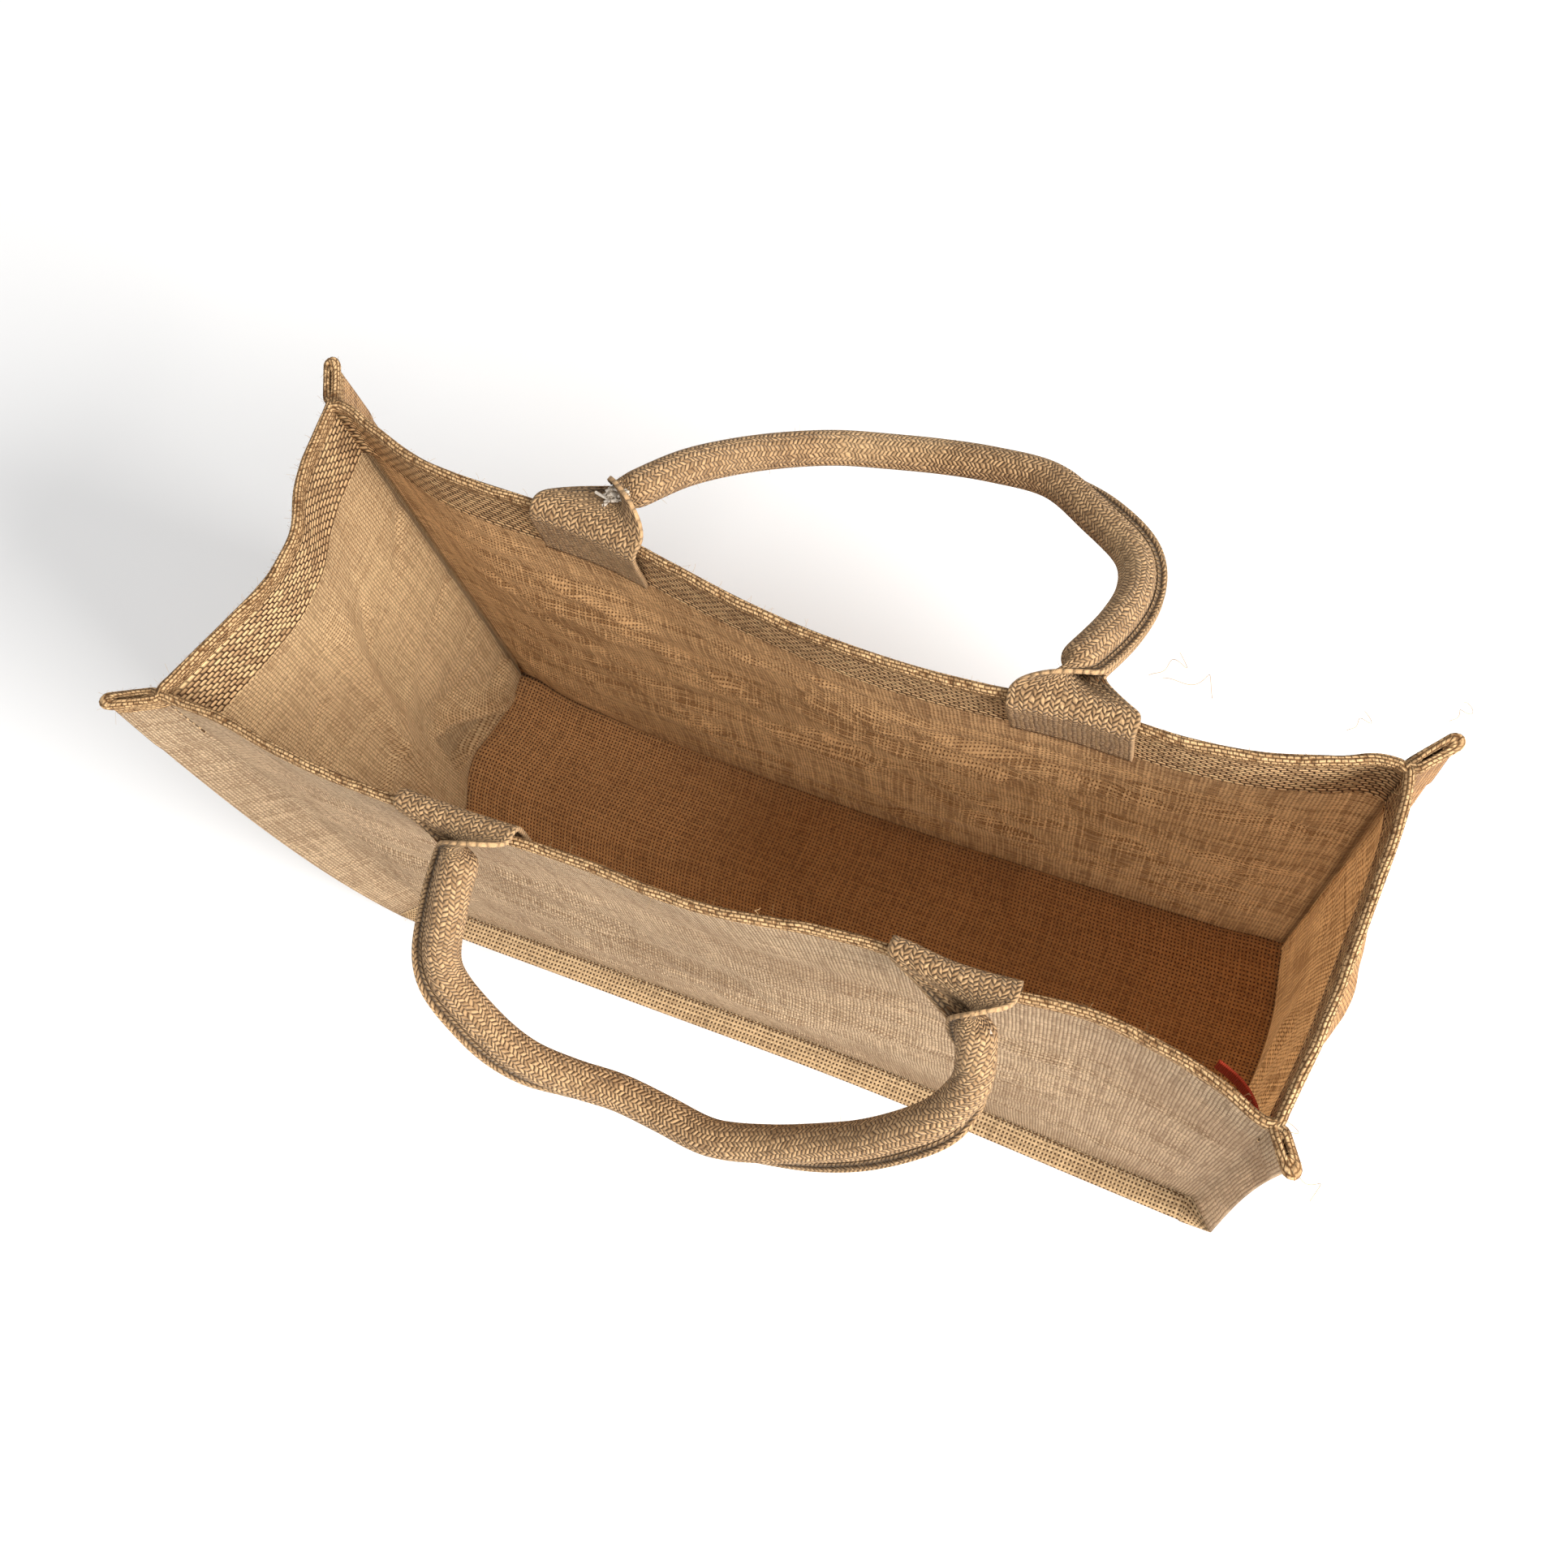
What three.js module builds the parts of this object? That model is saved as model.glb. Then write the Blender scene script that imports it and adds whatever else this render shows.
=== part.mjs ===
// Jute tote bag standing open on the floor, with two rope-filled webbing handles.
// Millimetres, +Z up. The origin is the middle of the base, on the floor.
// +X runs along the long side, +Y to the back panel.
import * as THREE from 'three';

// Driving dimensions
const LENGTH = 455;
const DEPTH = 143;
const HEIGHT = 315;
const CLOTH = 1.2;
const WEBBING = 1.8;
const GAP = 0.3;
const HEM_DEPTH = 40;
const FLANGE = 13;
const WEBBING_WIDTH = 50;
const HANDLE_LEAF = 5;
const CORE_RADIUS = 4.5;

// Worked out from them
const HEM_INSET = CLOTH + GAP;
const SEAM_HALF = CLOTH / 2 + GAP / 2;
const HEMMED_SEAM_HALF = SEAM_HALF + HEM_INSET;
const FLANGE_LEVEL = CLOTH + GAP + CLOTH / 2;
const RIM_MIDDLE = HEIGHT - CLOTH / 2;
const HEM_FOOT = HEIGHT - HEM_DEPTH;
const HEM_MIDDLE = HEM_FOOT + 18;
const FOLD_CHAMFER = 0.5;
const TAB_GAP = 1.5 * GAP;
const TAB_INSET = HEM_INSET + CLOTH / 2 + TAB_GAP + WEBBING / 2;
const OVER_RIM = HEIGHT + TAB_GAP + WEBBING / 2;

// Corner seams: how far the inside corner leans from its nominal place at foot and rim, where
// the tip of the sewn ear stands from it at the rim, and how much further out the ear reaches
// halfway up
const CORNERS = {
  front_left: { side: [-1, -1], foot: [8, -3], rim: [-6.5, -1.5], ear: [-18.8, -9.5], belly: 7 },
  front_right: { side: [1, -1], foot: [0.5, 1], rim: [-0.5, -3.2], ear: [8, -11.3], belly: -3 },
  back_right: { side: [1, 1], foot: [1.5, 0], rim: [3.5, -4.5], ear: [11.5, 14.5], belly: 3 },
  back_left: { side: [-1, 1], foot: [0, -1], rim: [0.5, -0.5], ear: [-7.9, 15.9], belly: 5 },
};

// Each wall runs counter-clockwise seen from above. In the tables "at" is the place along the
// wall from its middle, "out" how far the cloth stands outward of the straight line there.
const WALLS = {
  front_panel: {
    from: 'front_left', to: 'front_right', axis: 0, columns: 25,
    rim: [
      { at: -228, out: 0 }, { at: -206, out: 0 }, { at: -178, out: 4 }, { at: -149, out: 6 },
      { at: -97, out: 4.5 }, { at: -40, out: 1.8 }, { at: -8, out: 2 }, { at: 20, out: 0 },
      { at: 56, out: -6.5 }, { at: 80, out: -9.5 }, { at: 104, out: -8.5 }, { at: 127, out: -10.5 },
      { at: 155, out: -14 }, { at: 186, out: -11 }, { at: 214, out: -4 }, { at: 228, out: 0 },
    ],
    foot: [{ at: -228, out: 0 }, { at: -103, out: -2 }, { at: 50, out: -4 }, { at: 228, out: 0 }],
    bulges: [
      { at: 20, z: 150, out: 5, wide: 130, high: 70 },
      { at: -150, z: 200, out: -4, wide: 40, high: 60 },
    ],
    folds: [
      { start: [-80, 255], end: [120, 240], wide: 9, out: -2.2 },
      { start: [-190, 175], end: [60, 160], wide: 10, out: -2.5 },
      { start: [-60, 110], end: [190, 120], wide: 10, out: -2.5 },
      { start: [-228, 165], end: [-215, 60], wide: 12, out: -3 },
    ],
  },
  gusset_right: {
    from: 'front_right', to: 'back_right', axis: 1, columns: 11,
    rim: [
      { at: -71, out: 0 }, { at: -33, out: 2.5 }, { at: 8, out: 3 }, { at: 49, out: 3 },
      { at: 71, out: 0 },
    ],
    foot: [{ at: -71, out: 0 }, { at: -9, out: 7 }, { at: 30, out: 7 }, { at: 71, out: 0 }],
    bulges: [{ at: 5, z: 225, out: 12, wide: 45, high: 70 }],
    folds: [
      { start: [-50, 60], end: [20, 120], wide: 9, out: -4 },
      { start: [-55, 120], end: [5, 190], wide: 9, out: -3.5 },
    ],
  },
  back_panel: {
    from: 'back_right', to: 'back_left', axis: 0, columns: 25,
    rim: [
      { at: 229, out: 0 }, { at: 211, out: -5.5 }, { at: 180, out: -14.5 }, { at: 150, out: -19 },
      { at: 109, out: -20.5 }, { at: 75, out: -25 }, { at: 42, out: -28 }, { at: 9, out: -28 },
      { at: -25, out: -25 }, { at: -55, out: -20.5 }, { at: -97, out: -14.5 }, { at: -160, out: -14 },
      { at: -181, out: -12 }, { at: -210, out: -4 }, { at: -227, out: 0 },
    ],
    foot: [
      { at: 229, out: 0 }, { at: 195, out: -3 }, { at: 110, out: -7 }, { at: 0, out: -10 },
      { at: -121, out: -9.5 }, { at: -190, out: -6 }, { at: -227, out: 0 },
    ],
    bulges: [{ at: -20, z: 120, out: 5, wide: 150, high: 70 }],
    folds: [
      { start: [-200, 190], end: [70, 148], wide: 10, out: 3.5 },
      { start: [-180, 105], end: [90, 80], wide: 10, out: 3 },
      { start: [-130, 232], end: [-40, 205], wide: 9, out: 3 },
      { start: [150, 225], end: [215, 200], wide: 10, out: 3 },
    ],
  },
  gusset_left: {
    from: 'back_left', to: 'front_left', axis: 1, columns: 13,
    rim: [
      { at: 71, out: 0 }, { at: 42, out: -3.5 }, { at: 28, out: -8 }, { at: 12, out: -16 },
      { at: -3, out: -17.5 }, { at: -14, out: -16.5 }, { at: -32, out: -11.5 },
      { at: -50, out: -6 }, { at: -72, out: 0 },
    ],
    foot: [
      { at: 71, out: 0 }, { at: 46, out: 0 }, { at: 30, out: 3.5 }, { at: 15, out: 7.5 },
      { at: 1, out: 6 }, { at: -14, out: 0.5 }, { at: -34, out: -2.5 }, { at: -72, out: 0 },
    ],
    bulges: [{ at: 24, z: 58, out: 9, wide: 30, high: 28 }],
    folds: [
      { start: [4, 270], end: [-20, 85], wide: 9, out: -7 },
      { start: [66, 18], end: [12, 70], wide: 8, out: 4 },
      { start: [72, 2], end: [-4, 42], wide: 8, out: -4 },
    ],
  },
};

// Handles: the middle of the rope at each row, and how far the sewn leaves are rolled from the
// top to the outer side. The first and last rows are the notches where the webbing has closed.
// "at" is the place of a tab along the wall and "lean" how far its foot stands aside of that.
// "puff" is how round the webbing folds together there, from a straight funnel to an open curl,
// and "rope" how far the rope reaches out of it.
const HANDLES = {
  handle_front: {
    wall: 'front_panel',
    tabs: [
      { at: -94, lean: 0, puff: 0.4, rope: -1 },
      { at: 104, lean: 0, puff: 0.4, rope: -1 },
    ],
    rows: [
      { x: -85, y: -90, z: 316, roll: 105 },
      { x: -86, y: -108, z: 303, roll: 92 },
      { x: -85, y: -128, z: 284, roll: 88 },
      { x: -69, y: -139.5, z: 267, roll: 92 },
      { x: -50, y: -146, z: 254, roll: 125 },
      { x: -31, y: -146, z: 244, roll: 150 },
      { x: -12, y: -144, z: 237, roll: 160 },
      { x: 8, y: -145, z: 234, roll: 165 },
      { x: 30, y: -146.5, z: 236, roll: 165 },
      { x: 52, y: -141, z: 242, roll: 150 },
      { x: 73, y: -133.5, z: 252, roll: 125 },
      { x: 92.5, y: -125.5, z: 266, roll: 112 },
      { x: 110.5, y: -114.5, z: 283, roll: 108 },
      { x: 119, y: -105, z: 292, roll: 145 },
      { x: 123, y: -94.5, z: 303, roll: 195 },
      { x: 119, y: -80, z: 317, roll: 248 },
    ],
  },
  handle_back: {
    wall: 'back_panel',
    tabs: [
      { at: 110, lean: 0, puff: 0.2, rope: -1 },
      { at: -97, lean: -5, puff: 0.6, rope: 0 },
    ],
    rows: [
      { x: 105, y: 63, z: 316, roll: 80 },
      { x: 112, y: 87.5, z: 302.5, roll: 90 },
      { x: 113.5, y: 110, z: 290, roll: 92 },
      { x: 106, y: 129, z: 280, roll: 90 },
      { x: 85, y: 145, z: 270.5, roll: 98 },
      { x: 62, y: 159, z: 262, roll: 135 },
      { x: 35, y: 161, z: 256, roll: 135 },
      { x: 12, y: 159, z: 253, roll: 130 },
      { x: -10, y: 153, z: 255, roll: 125 },
      { x: -30, y: 144, z: 262, roll: 120 },
      { x: -48, y: 131, z: 272, roll: 118 },
      { x: -63, y: 114.5, z: 286, roll: 122 },
      { x: -75.5, y: 95, z: 302, roll: 125 },
      { x: -86, y: 73.5, z: 315, roll: 120 },
    ],
  },
};

// Side tag: a plain folded ribbon held in the front right corner seam, inside the bag
const TAG = { length: 26, height: 14, thick: 1.1, foot: 281, root: [-4.8, 2.8], turn: 143, curve: 3 };

const COLOURS = {
  front_panel: 0xc9a878, back_panel: 0xb08a58, gusset_left: 0xcdac7c, gusset_right: 0xb98f5c,
  base_panel: 0x8f6236, handle_front: 0xbd9460, handle_back: 0xbd9460,
  rope_core_front: 0xa9a095, rope_core_back: 0xa9a095, side_tag: 0xb8452c,
};
const FABRIC_ROUGHNESS = 0.95;

// Curves through the tables

function smoothBetween(before, a, b, after, t) {
  const slopeA = (b - before) / 2;
  const slopeB = (after - a) / 2;
  const t2 = t * t;
  const t3 = t2 * t;
  const towardsB = 3 * t2 - 2 * t3;
  return a * (1 - towardsB) + b * towardsB + slopeA * (t3 - 2 * t2 + t) + slopeB * (t3 - t2);
}

function readTable(rows, at) {
  const sorted = rows[0].at < rows[rows.length - 1].at ? rows : [...rows].reverse();
  const last = sorted.length - 1;
  if (at <= sorted[0].at) return sorted[0].out;
  if (at >= sorted[last].at) return sorted[last].out;
  let k = 0;
  while (sorted[k + 1].at < at) k += 1;
  const a = sorted[k];
  const b = sorted[k + 1];
  const before = sorted[Math.max(k - 1, 0)].out;
  const after = sorted[Math.min(k + 2, last)].out;
  return smoothBetween(before, a.out, b.out, after, (at - a.at) / (b.at - a.at));
}

const mix = (a, b, t) => a + (b - a) * t;
const ease = (t) => t * t * (3 - 2 * t);
const clamp01 = (t) => Math.min(Math.max(t, 0), 1);

// Corner seams

function cornerAt(name, z) {
  const corner = CORNERS[name];
  const up = clamp01(z / HEIGHT);
  return new THREE.Vector2(
    corner.side[0] * LENGTH / 2 + mix(corner.foot[0], corner.rim[0], up),
    corner.side[1] * DEPTH / 2 + mix(corner.foot[1], corner.rim[1], up),
  );
}

function earAt(name, z) {
  const corner = CORNERS[name];
  const up = clamp01((z - FLANGE_LEVEL) / (HEIGHT - FLANGE_LEVEL));
  const ear = new THREE.Vector2(
    mix(corner.side[0] * FLANGE, corner.ear[0], ease(up)),
    mix(corner.side[1] * FLANGE, corner.ear[1], ease(up)),
  );
  return ear.setLength(ear.length() + corner.belly * 4 * up * (1 - up));
}

// Half the distance between the two cloths of a corner seam: it widens where the hems are in it
function seamHalf(z) {
  const WIDEN_FROM = HEM_FOOT - 16;
  const WIDEN_TO = HEM_FOOT - 4;
  return mix(SEAM_HALF, HEMMED_SEAM_HALF, ease(clamp01((z - WIDEN_FROM) / (WIDEN_TO - WIDEN_FROM))));
}

// Walls

// Depth of one soft fold at a place on its wall: it fades towards both ends
function foldDepth(fold, at, z) {
  const FOLD_FADE = 0.25;
  const [x0, z0] = fold.start;
  const [x1, z1] = fold.end;
  const run = Math.hypot(x1 - x0, z1 - z0);
  const along = ((at - x0) * (x1 - x0) + (z - z0) * (z1 - z0)) / (run * run);
  const off = ((at - x0) * (z1 - z0) - (z - z0) * (x1 - x0)) / run;
  const fade = ease(clamp01(along / FOLD_FADE)) * ease(clamp01((1 - along) / FOLD_FADE));
  return fold.out * fade * Math.exp(-((off / fold.wide) ** 2));
}

// How far the cloth stands outward of the straight line between its corners
function bowAt(wall, at, z) {
  const RIM_SHARE_POWER = 1.6;
  const FREE_OVER_FOOT = 30;
  const FREE_UNDER_HEM = 55;
  const HELD_BY_SEAM = 0.9;
  const up = clamp01(z / HEIGHT);
  let out = mix(readTable(wall.foot, at), readTable(wall.rim, at), up ** RIM_SHARE_POWER);
  const held = ease(clamp01(z / FREE_OVER_FOOT)) * ease(clamp01((HEM_FOOT - z) / FREE_UNDER_HEM));
  for (const bulge of wall.bulges) {
    const aside = (at - bulge.at) / bulge.wide;
    const above = (z - bulge.z) / bulge.high;
    out += held * bulge.out * Math.exp(-(aside ** 2) - above ** 2);
  }
  for (const fold of wall.folds) out += held * foldDepth(fold, at, z);
  const atEnd = Math.abs(at) / ((wall.axis === 0 ? LENGTH : DEPTH) / 2);
  return out * (1 - ease(clamp01((atEnd - HELD_BY_SEAM) / (1 - HELD_BY_SEAM))));
}

// Middle of the cloth at a share of the way along a wall, in plan, without the seams
function wallPoint(wall, share, z) {
  const a = cornerAt(wall.from, z);
  const b = cornerAt(wall.to, z);
  const line = b.clone().sub(a);
  const outward = new THREE.Vector2(line.y, -line.x).normalize();
  const point = a.clone().addScaledVector(line, share);
  const at = wall.axis === 0 ? point.x : point.y;
  return point.addScaledVector(outward, bowAt(wall, at, z));
}

// One row of a wall in plan: ear tip, inside corner, the stations between, corner, ear tip
function wallRow(wall, z) {
  const inner = [];
  for (let k = 1; k < wall.columns; k += 1) inner.push(wallPoint(wall, k / wall.columns, z));
  const ends = [[wall.from, 1], [wall.to, -1]].map(([name, turn]) => {
    const ear = earAt(name, z);
    const aside = new THREE.Vector2(-ear.y, ear.x).normalize().multiplyScalar(turn * seamHalf(z));
    const root = cornerAt(name, z).add(aside);
    return { root, tip: root.clone().add(ear) };
  });
  return [ends[0].tip, ends[0].root, ...inner, ends[1].root, ends[1].tip];
}

// Shift of each point of a plan line that moves the line outward by one millimetre
function outwardShifts(row) {
  const normals = [];
  for (let k = 0; k + 1 < row.length; k += 1) {
    const step = row[k + 1].clone().sub(row[k]);
    normals.push(new THREE.Vector2(step.y, -step.x).normalize());
  }
  return row.map((point, k) => {
    const a = normals[Math.max(k - 1, 0)];
    const b = normals[Math.min(k, normals.length - 1)];
    const middle = a.clone().add(b);
    return middle.multiplyScalar(2 / middle.lengthSq());
  });
}

function lift(row, z) {
  return row.map((point) => new THREE.Vector3(point.x, point.y, z));
}

function insetRow(wall, z, inset, level) {
  const row = wallRow(wall, z);
  const shifts = outwardShifts(row);
  return lift(row.map((point, k) => point.clone().addScaledVector(shifts[k], -inset)), level);
}

// The flange tip row: the cloth turned outward on the floor, mitred at the corners
function flangeRow(wall) {
  const row = wallRow(wall, FLANGE_LEVEL);
  const shifts = outwardShifts(row);
  const last = row.length - 1;
  return lift(row.map((point, k) => {
    if (k === 0 || k === last) return point.clone();
    if (k === 1 || k === last - 1) {
      const next = k === 1 ? row[2].clone().sub(point) : point.clone().sub(row[last - 2]);
      return point.clone().add(new THREE.Vector2(next.y, -next.x).setLength(FLANGE));
    }
    return point.clone().addScaledVector(shifts[k], FLANGE);
  }), FLANGE_LEVEL);
}

// The foot of the ears stops short of the flange corner, so that the two folds don't coincide
function footRow(wall) {
  const EAR_FOOT = 0.9;
  const row = lift(wallRow(wall, FLANGE_LEVEL), FLANGE_LEVEL);
  const last = row.length - 1;
  row[0].lerp(row[1], 1 - EAR_FOOT);
  row[last].lerp(row[last - 1], 1 - EAR_FOOT);
  return row;
}

function wallGrid(wall) {
  const LEVELS = [22, 50, 85, 120, 155, 190, 225, HEM_FOOT - 17, HEM_FOOT - 3, HEM_MIDDLE];
  const foldSide = RIM_MIDDLE - FOLD_CHAMFER;
  return [
    flangeRow(wall),
    footRow(wall),
    ...LEVELS.map((z) => lift(wallRow(wall, z), z)),
    insetRow(wall, HEIGHT, 0, foldSide),
    insetRow(wall, HEIGHT, FOLD_CHAMFER, RIM_MIDDLE),
    insetRow(wall, HEIGHT, HEM_INSET - FOLD_CHAMFER, RIM_MIDDLE),
    insetRow(wall, HEIGHT, HEM_INSET, foldSide),
    insetRow(wall, HEM_MIDDLE, HEM_INSET, HEM_MIDDLE),
    insetRow(wall, HEM_FOOT, HEM_INSET, HEM_FOOT),
  ];
}

// Sheets: a grid of middle points becomes a closed solid of one thickness

function gridNormals(grid) {
  const faces = grid.slice(1).map((row, j) => row.slice(1).map((point, i) => {
    const across = point.clone().sub(grid[j][i]);
    const counter = grid[j + 1][i].clone().sub(grid[j][i + 1]);
    return across.cross(counter).normalize();
  }));
  return grid.map((row, j) => row.map((point, i) => {
    const near = [];
    for (const [dj, di] of [[-1, -1], [-1, 0], [0, -1], [0, 0]]) {
      const face = faces[j + dj] && faces[j + dj][i + di];
      if (face) near.push(face);
    }
    return mitreShift(near);
  }));
}

// The shift that lies one millimetre in front of every face that meets at a point
function mitreShift(normals) {
  const SOFTEN = 0.01;
  const LONGEST = 1.6;
  const sum = new THREE.Vector3();
  const m = [SOFTEN, 0, 0, 0, SOFTEN, 0, 0, 0, SOFTEN];
  for (const n of normals) {
    sum.add(n);
    const v = [n.x, n.y, n.z];
    for (let k = 0; k < 9; k += 1) m[k] += v[Math.floor(k / 3)] * v[k % 3];
  }
  const shift = sum.applyMatrix3(new THREE.Matrix3().set(...m).invert());
  return shift.clampLength(0, LONGEST);
}

function sheetSolid(grid, thickness) {
  const shifts = gridNormals(grid);
  const rows = grid.length;
  const columns = grid[0].length;
  const positions = [];
  for (const side of [0.5, -0.5]) {
    grid.forEach((row, j) => row.forEach((point, i) => {
      const moved = point.clone().addScaledVector(shifts[j][i], side * thickness);
      positions.push(moved.x, moved.y, moved.z);
    }));
  }
  const back = rows * columns;
  const id = (j, i) => j * columns + i;
  const faces = [];
  const quad = (a, b, c, d) => faces.push(a, b, c, a, c, d);
  // Quads of the first half are split along the other diagonal, so that the cloths that meet
  // at a seam bend alike
  for (let j = 0; j + 1 < rows; j += 1) {
    for (let i = 0; i + 1 < columns; i += 1) {
      const [a, b, c, d] = [id(j, i), id(j, i + 1), id(j + 1, i + 1), id(j + 1, i)];
      const front = i < columns / 2 - 1 ? [b, c, d, a] : [a, b, c, d];
      quad(...front);
      const [e, f, g, h] = front.map((k) => k + back);
      quad(e, h, g, f);
    }
  }
  const rim = [];
  for (let i = 0; i + 1 < columns; i += 1) rim.push([id(0, i), id(0, i + 1)]);
  for (let j = 0; j + 1 < rows; j += 1) rim.push([id(j, columns - 1), id(j + 1, columns - 1)]);
  for (let i = columns - 1; i > 0; i -= 1) rim.push([id(rows - 1, i), id(rows - 1, i - 1)]);
  for (let j = rows - 1; j > 0; j -= 1) rim.push([id(j, 0), id(j - 1, 0)]);
  for (const [a, b] of rim) quad(a, a + back, b + back, b);
  const geometry = new THREE.BufferGeometry();
  geometry.setAttribute('position', new THREE.Float32BufferAttribute(positions, 3));
  geometry.setIndex(faces);
  geometry.computeVertexNormals();
  return geometry;
}

// Base: one flat cloth that reaches to the edge of the flange all round

function baseSolid() {
  const outline = [];
  for (const wall of Object.values(WALLS)) {
    const row = flangeRow(wall);
    const corner = cornerAt(wall.from, FLANGE_LEVEL).add(earAt(wall.from, FLANGE_LEVEL));
    outline.push(corner);
    for (const point of row.slice(1, -1)) outline.push(new THREE.Vector2(point.x, point.y));
  }
  return new THREE.ExtrudeGeometry(new THREE.Shape(outline), { depth: CLOTH, bevelEnabled: false });
}

// Handles: webbing that lies flat on the hem, turns over the rim and closes round the rope

const ARC_HALF = WEBBING_WIDTH / 2 - HANDLE_LEAF;
const CLOSED_ANGLE = Math.PI - 0.18;
const RING_RADIUS = ARC_HALF / CLOSED_ANGLE;

function acrossStops() {
  const ARC_STEPS = 5;
  const half = [];
  for (let k = 1; k <= ARC_STEPS; k += 1) half.push(ARC_HALF * k / ARC_STEPS);
  half.push(WEBBING_WIDTH / 2);
  return [...half.map((a) => -a).reverse(), 0, ...half];
}

// A point over the wall at a place along it, moved inward by an inset, at a level
function besideWall(wall, at, inset, level) {
  const z = Math.min(level, HEIGHT);
  const a = cornerAt(wall.from, z);
  const b = cornerAt(wall.to, z);
  const share = (at - (wall.axis === 0 ? a.x : a.y)) / (wall.axis === 0 ? b.x - a.x : b.y - a.y);
  const STEP = 0.01;
  const point = wallPoint(wall, share, z);
  const before = wallPoint(wall, share - STEP, z);
  const line = wallPoint(wall, share + STEP, z).sub(before).normalize();
  return new THREE.Vector3(point.x - line.y * inset, point.y + line.x * inset, level);
}

// Tab rows from the hem's lower edge up and over the rim
function tabRows(wall, tab, direction) {
  const ROUNDING = 1.3;
  const OUTSIDE = 2.2;
  const stops = [
    { inset: TAB_INSET, level: HEM_FOOT + GAP },
    { inset: TAB_INSET, level: mix(HEM_FOOT, HEIGHT, 0.35) },
    { inset: TAB_INSET, level: mix(HEM_FOOT, HEIGHT, 0.68) },
    { inset: TAB_INSET, level: HEIGHT - GAP },
    { inset: TAB_INSET - ROUNDING, level: OVER_RIM },
    { inset: HEM_INSET - ROUNDING, level: OVER_RIM },
    { inset: -OUTSIDE, level: OVER_RIM },
  ];
  return stops.map(({ inset, level }) => {
    const aside = tab.at + tab.lean * clamp01((HEIGHT - level) / HEM_DEPTH);
    return acrossStops().map((across) => besideWall(wall, aside + direction * across, inset, level));
  });
}

// Rows of the path with steps between them, along one smooth curve
function pathStations(handle, stepsPerRow) {
  const path = handle.rows;
  const last = path.length - 1;
  const stations = [];
  for (let k = 0; k < last; k += 1) {
    for (let s = 0; s < stepsPerRow; s += 1) {
      const station = {};
      for (const key of ['x', 'y', 'z', 'roll']) {
        const before = path[Math.max(k - 1, 0)][key];
        const after = path[Math.min(k + 2, last)][key];
        station[key] = smoothBetween(before, path[k][key], path[k + 1][key], after, s / stepsPerRow);
      }
      stations.push(station);
    }
  }
  stations.push(path[last]);
  return stations.map((station, k) => withFrame(stations, station, k));
}

function withFrame(stations, station, k) {
  const a = stations[Math.max(k - 1, 0)];
  const b = stations[Math.min(k + 1, stations.length - 1)];
  const along = new THREE.Vector3(b.x - a.x, b.y - a.y, b.z - a.z).normalize();
  const outer = along.clone().cross(new THREE.Vector3(0, 0, 1)).normalize();
  const top = outer.clone().cross(along).normalize();
  const roll = THREE.MathUtils.degToRad(station.roll);
  const leaves = top.multiplyScalar(Math.cos(roll)).addScaledVector(outer, Math.sin(roll));
  const aside = along.clone().cross(leaves).normalize();
  return { at: new THREE.Vector3(station.x, station.y, station.z), along, leaves, aside };
}

// A row of the webbing curled about its middle line: 0 is flat, 1 is closed round the rope with
// its two selvages sewn together as leaves
function curledRow(middle, aside, leaves, curl) {
  const full = curl * CLOSED_ANGLE;
  const radius = ARC_HALF / full;
  const leafAngle = full - curl * curl * (CLOSED_ANGLE - Math.PI / 2);
  return acrossStops().map((across) => {
    const angle = Math.min(Math.abs(across), ARC_HALF) / radius;
    const leaf = Math.max(Math.abs(across) - ARC_HALF, 0);
    const wide = radius * Math.sin(angle) + leaf * Math.cos(leafAngle);
    return middle.clone()
      .addScaledVector(leaves, radius * (1 - Math.cos(angle)) + leaf * Math.sin(leafAngle))
      .addScaledVector(aside, Math.sign(across) * wide);
  });
}

function webbingMiddle(station) {
  return station.at.clone().addScaledVector(station.leaves, -RING_RADIUS);
}

function closedRow(station) {
  return curledRow(webbingMiddle(station), station.aside, station.leaves, 1);
}

function turnOf(aside, leaves) {
  const basis = new THREE.Matrix4().makeBasis(aside, leaves, aside.clone().cross(leaves));
  return new THREE.Quaternion().setFromRotationMatrix(basis);
}

// Rows between the rim and the notch, where the webbing folds together like an envelope
function foldingRows(rimRow, notch, tab) {
  const STEPS = 5;
  const middle = rimRow[(rimRow.length - 1) / 2];
  const aside = rimRow[rimRow.length - 1].clone().sub(rimRow[0]).setZ(0).normalize();
  const flat = turnOf(aside, new THREE.Vector3(0, 0, 1));
  const closed = turnOf(notch.aside, notch.leaves);
  const straight = closedRow(notch);
  const rows = [];
  for (let s = 1; s < STEPS; s += 1) {
    const t = s / STEPS;
    const turn = flat.clone().slerp(closed, t);
    const at = middle.clone().lerp(webbingMiddle(notch), t);
    const asideNow = new THREE.Vector3(1, 0, 0).applyQuaternion(turn);
    const leavesNow = new THREE.Vector3(0, 1, 0).applyQuaternion(turn);
    const curled = curledRow(at, asideNow, leavesNow, t);
    rows.push(rimRow.map((point, i) => point.clone().lerp(straight[i], t).lerp(curled[i], tab.puff)));
  }
  return rows;
}

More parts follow.
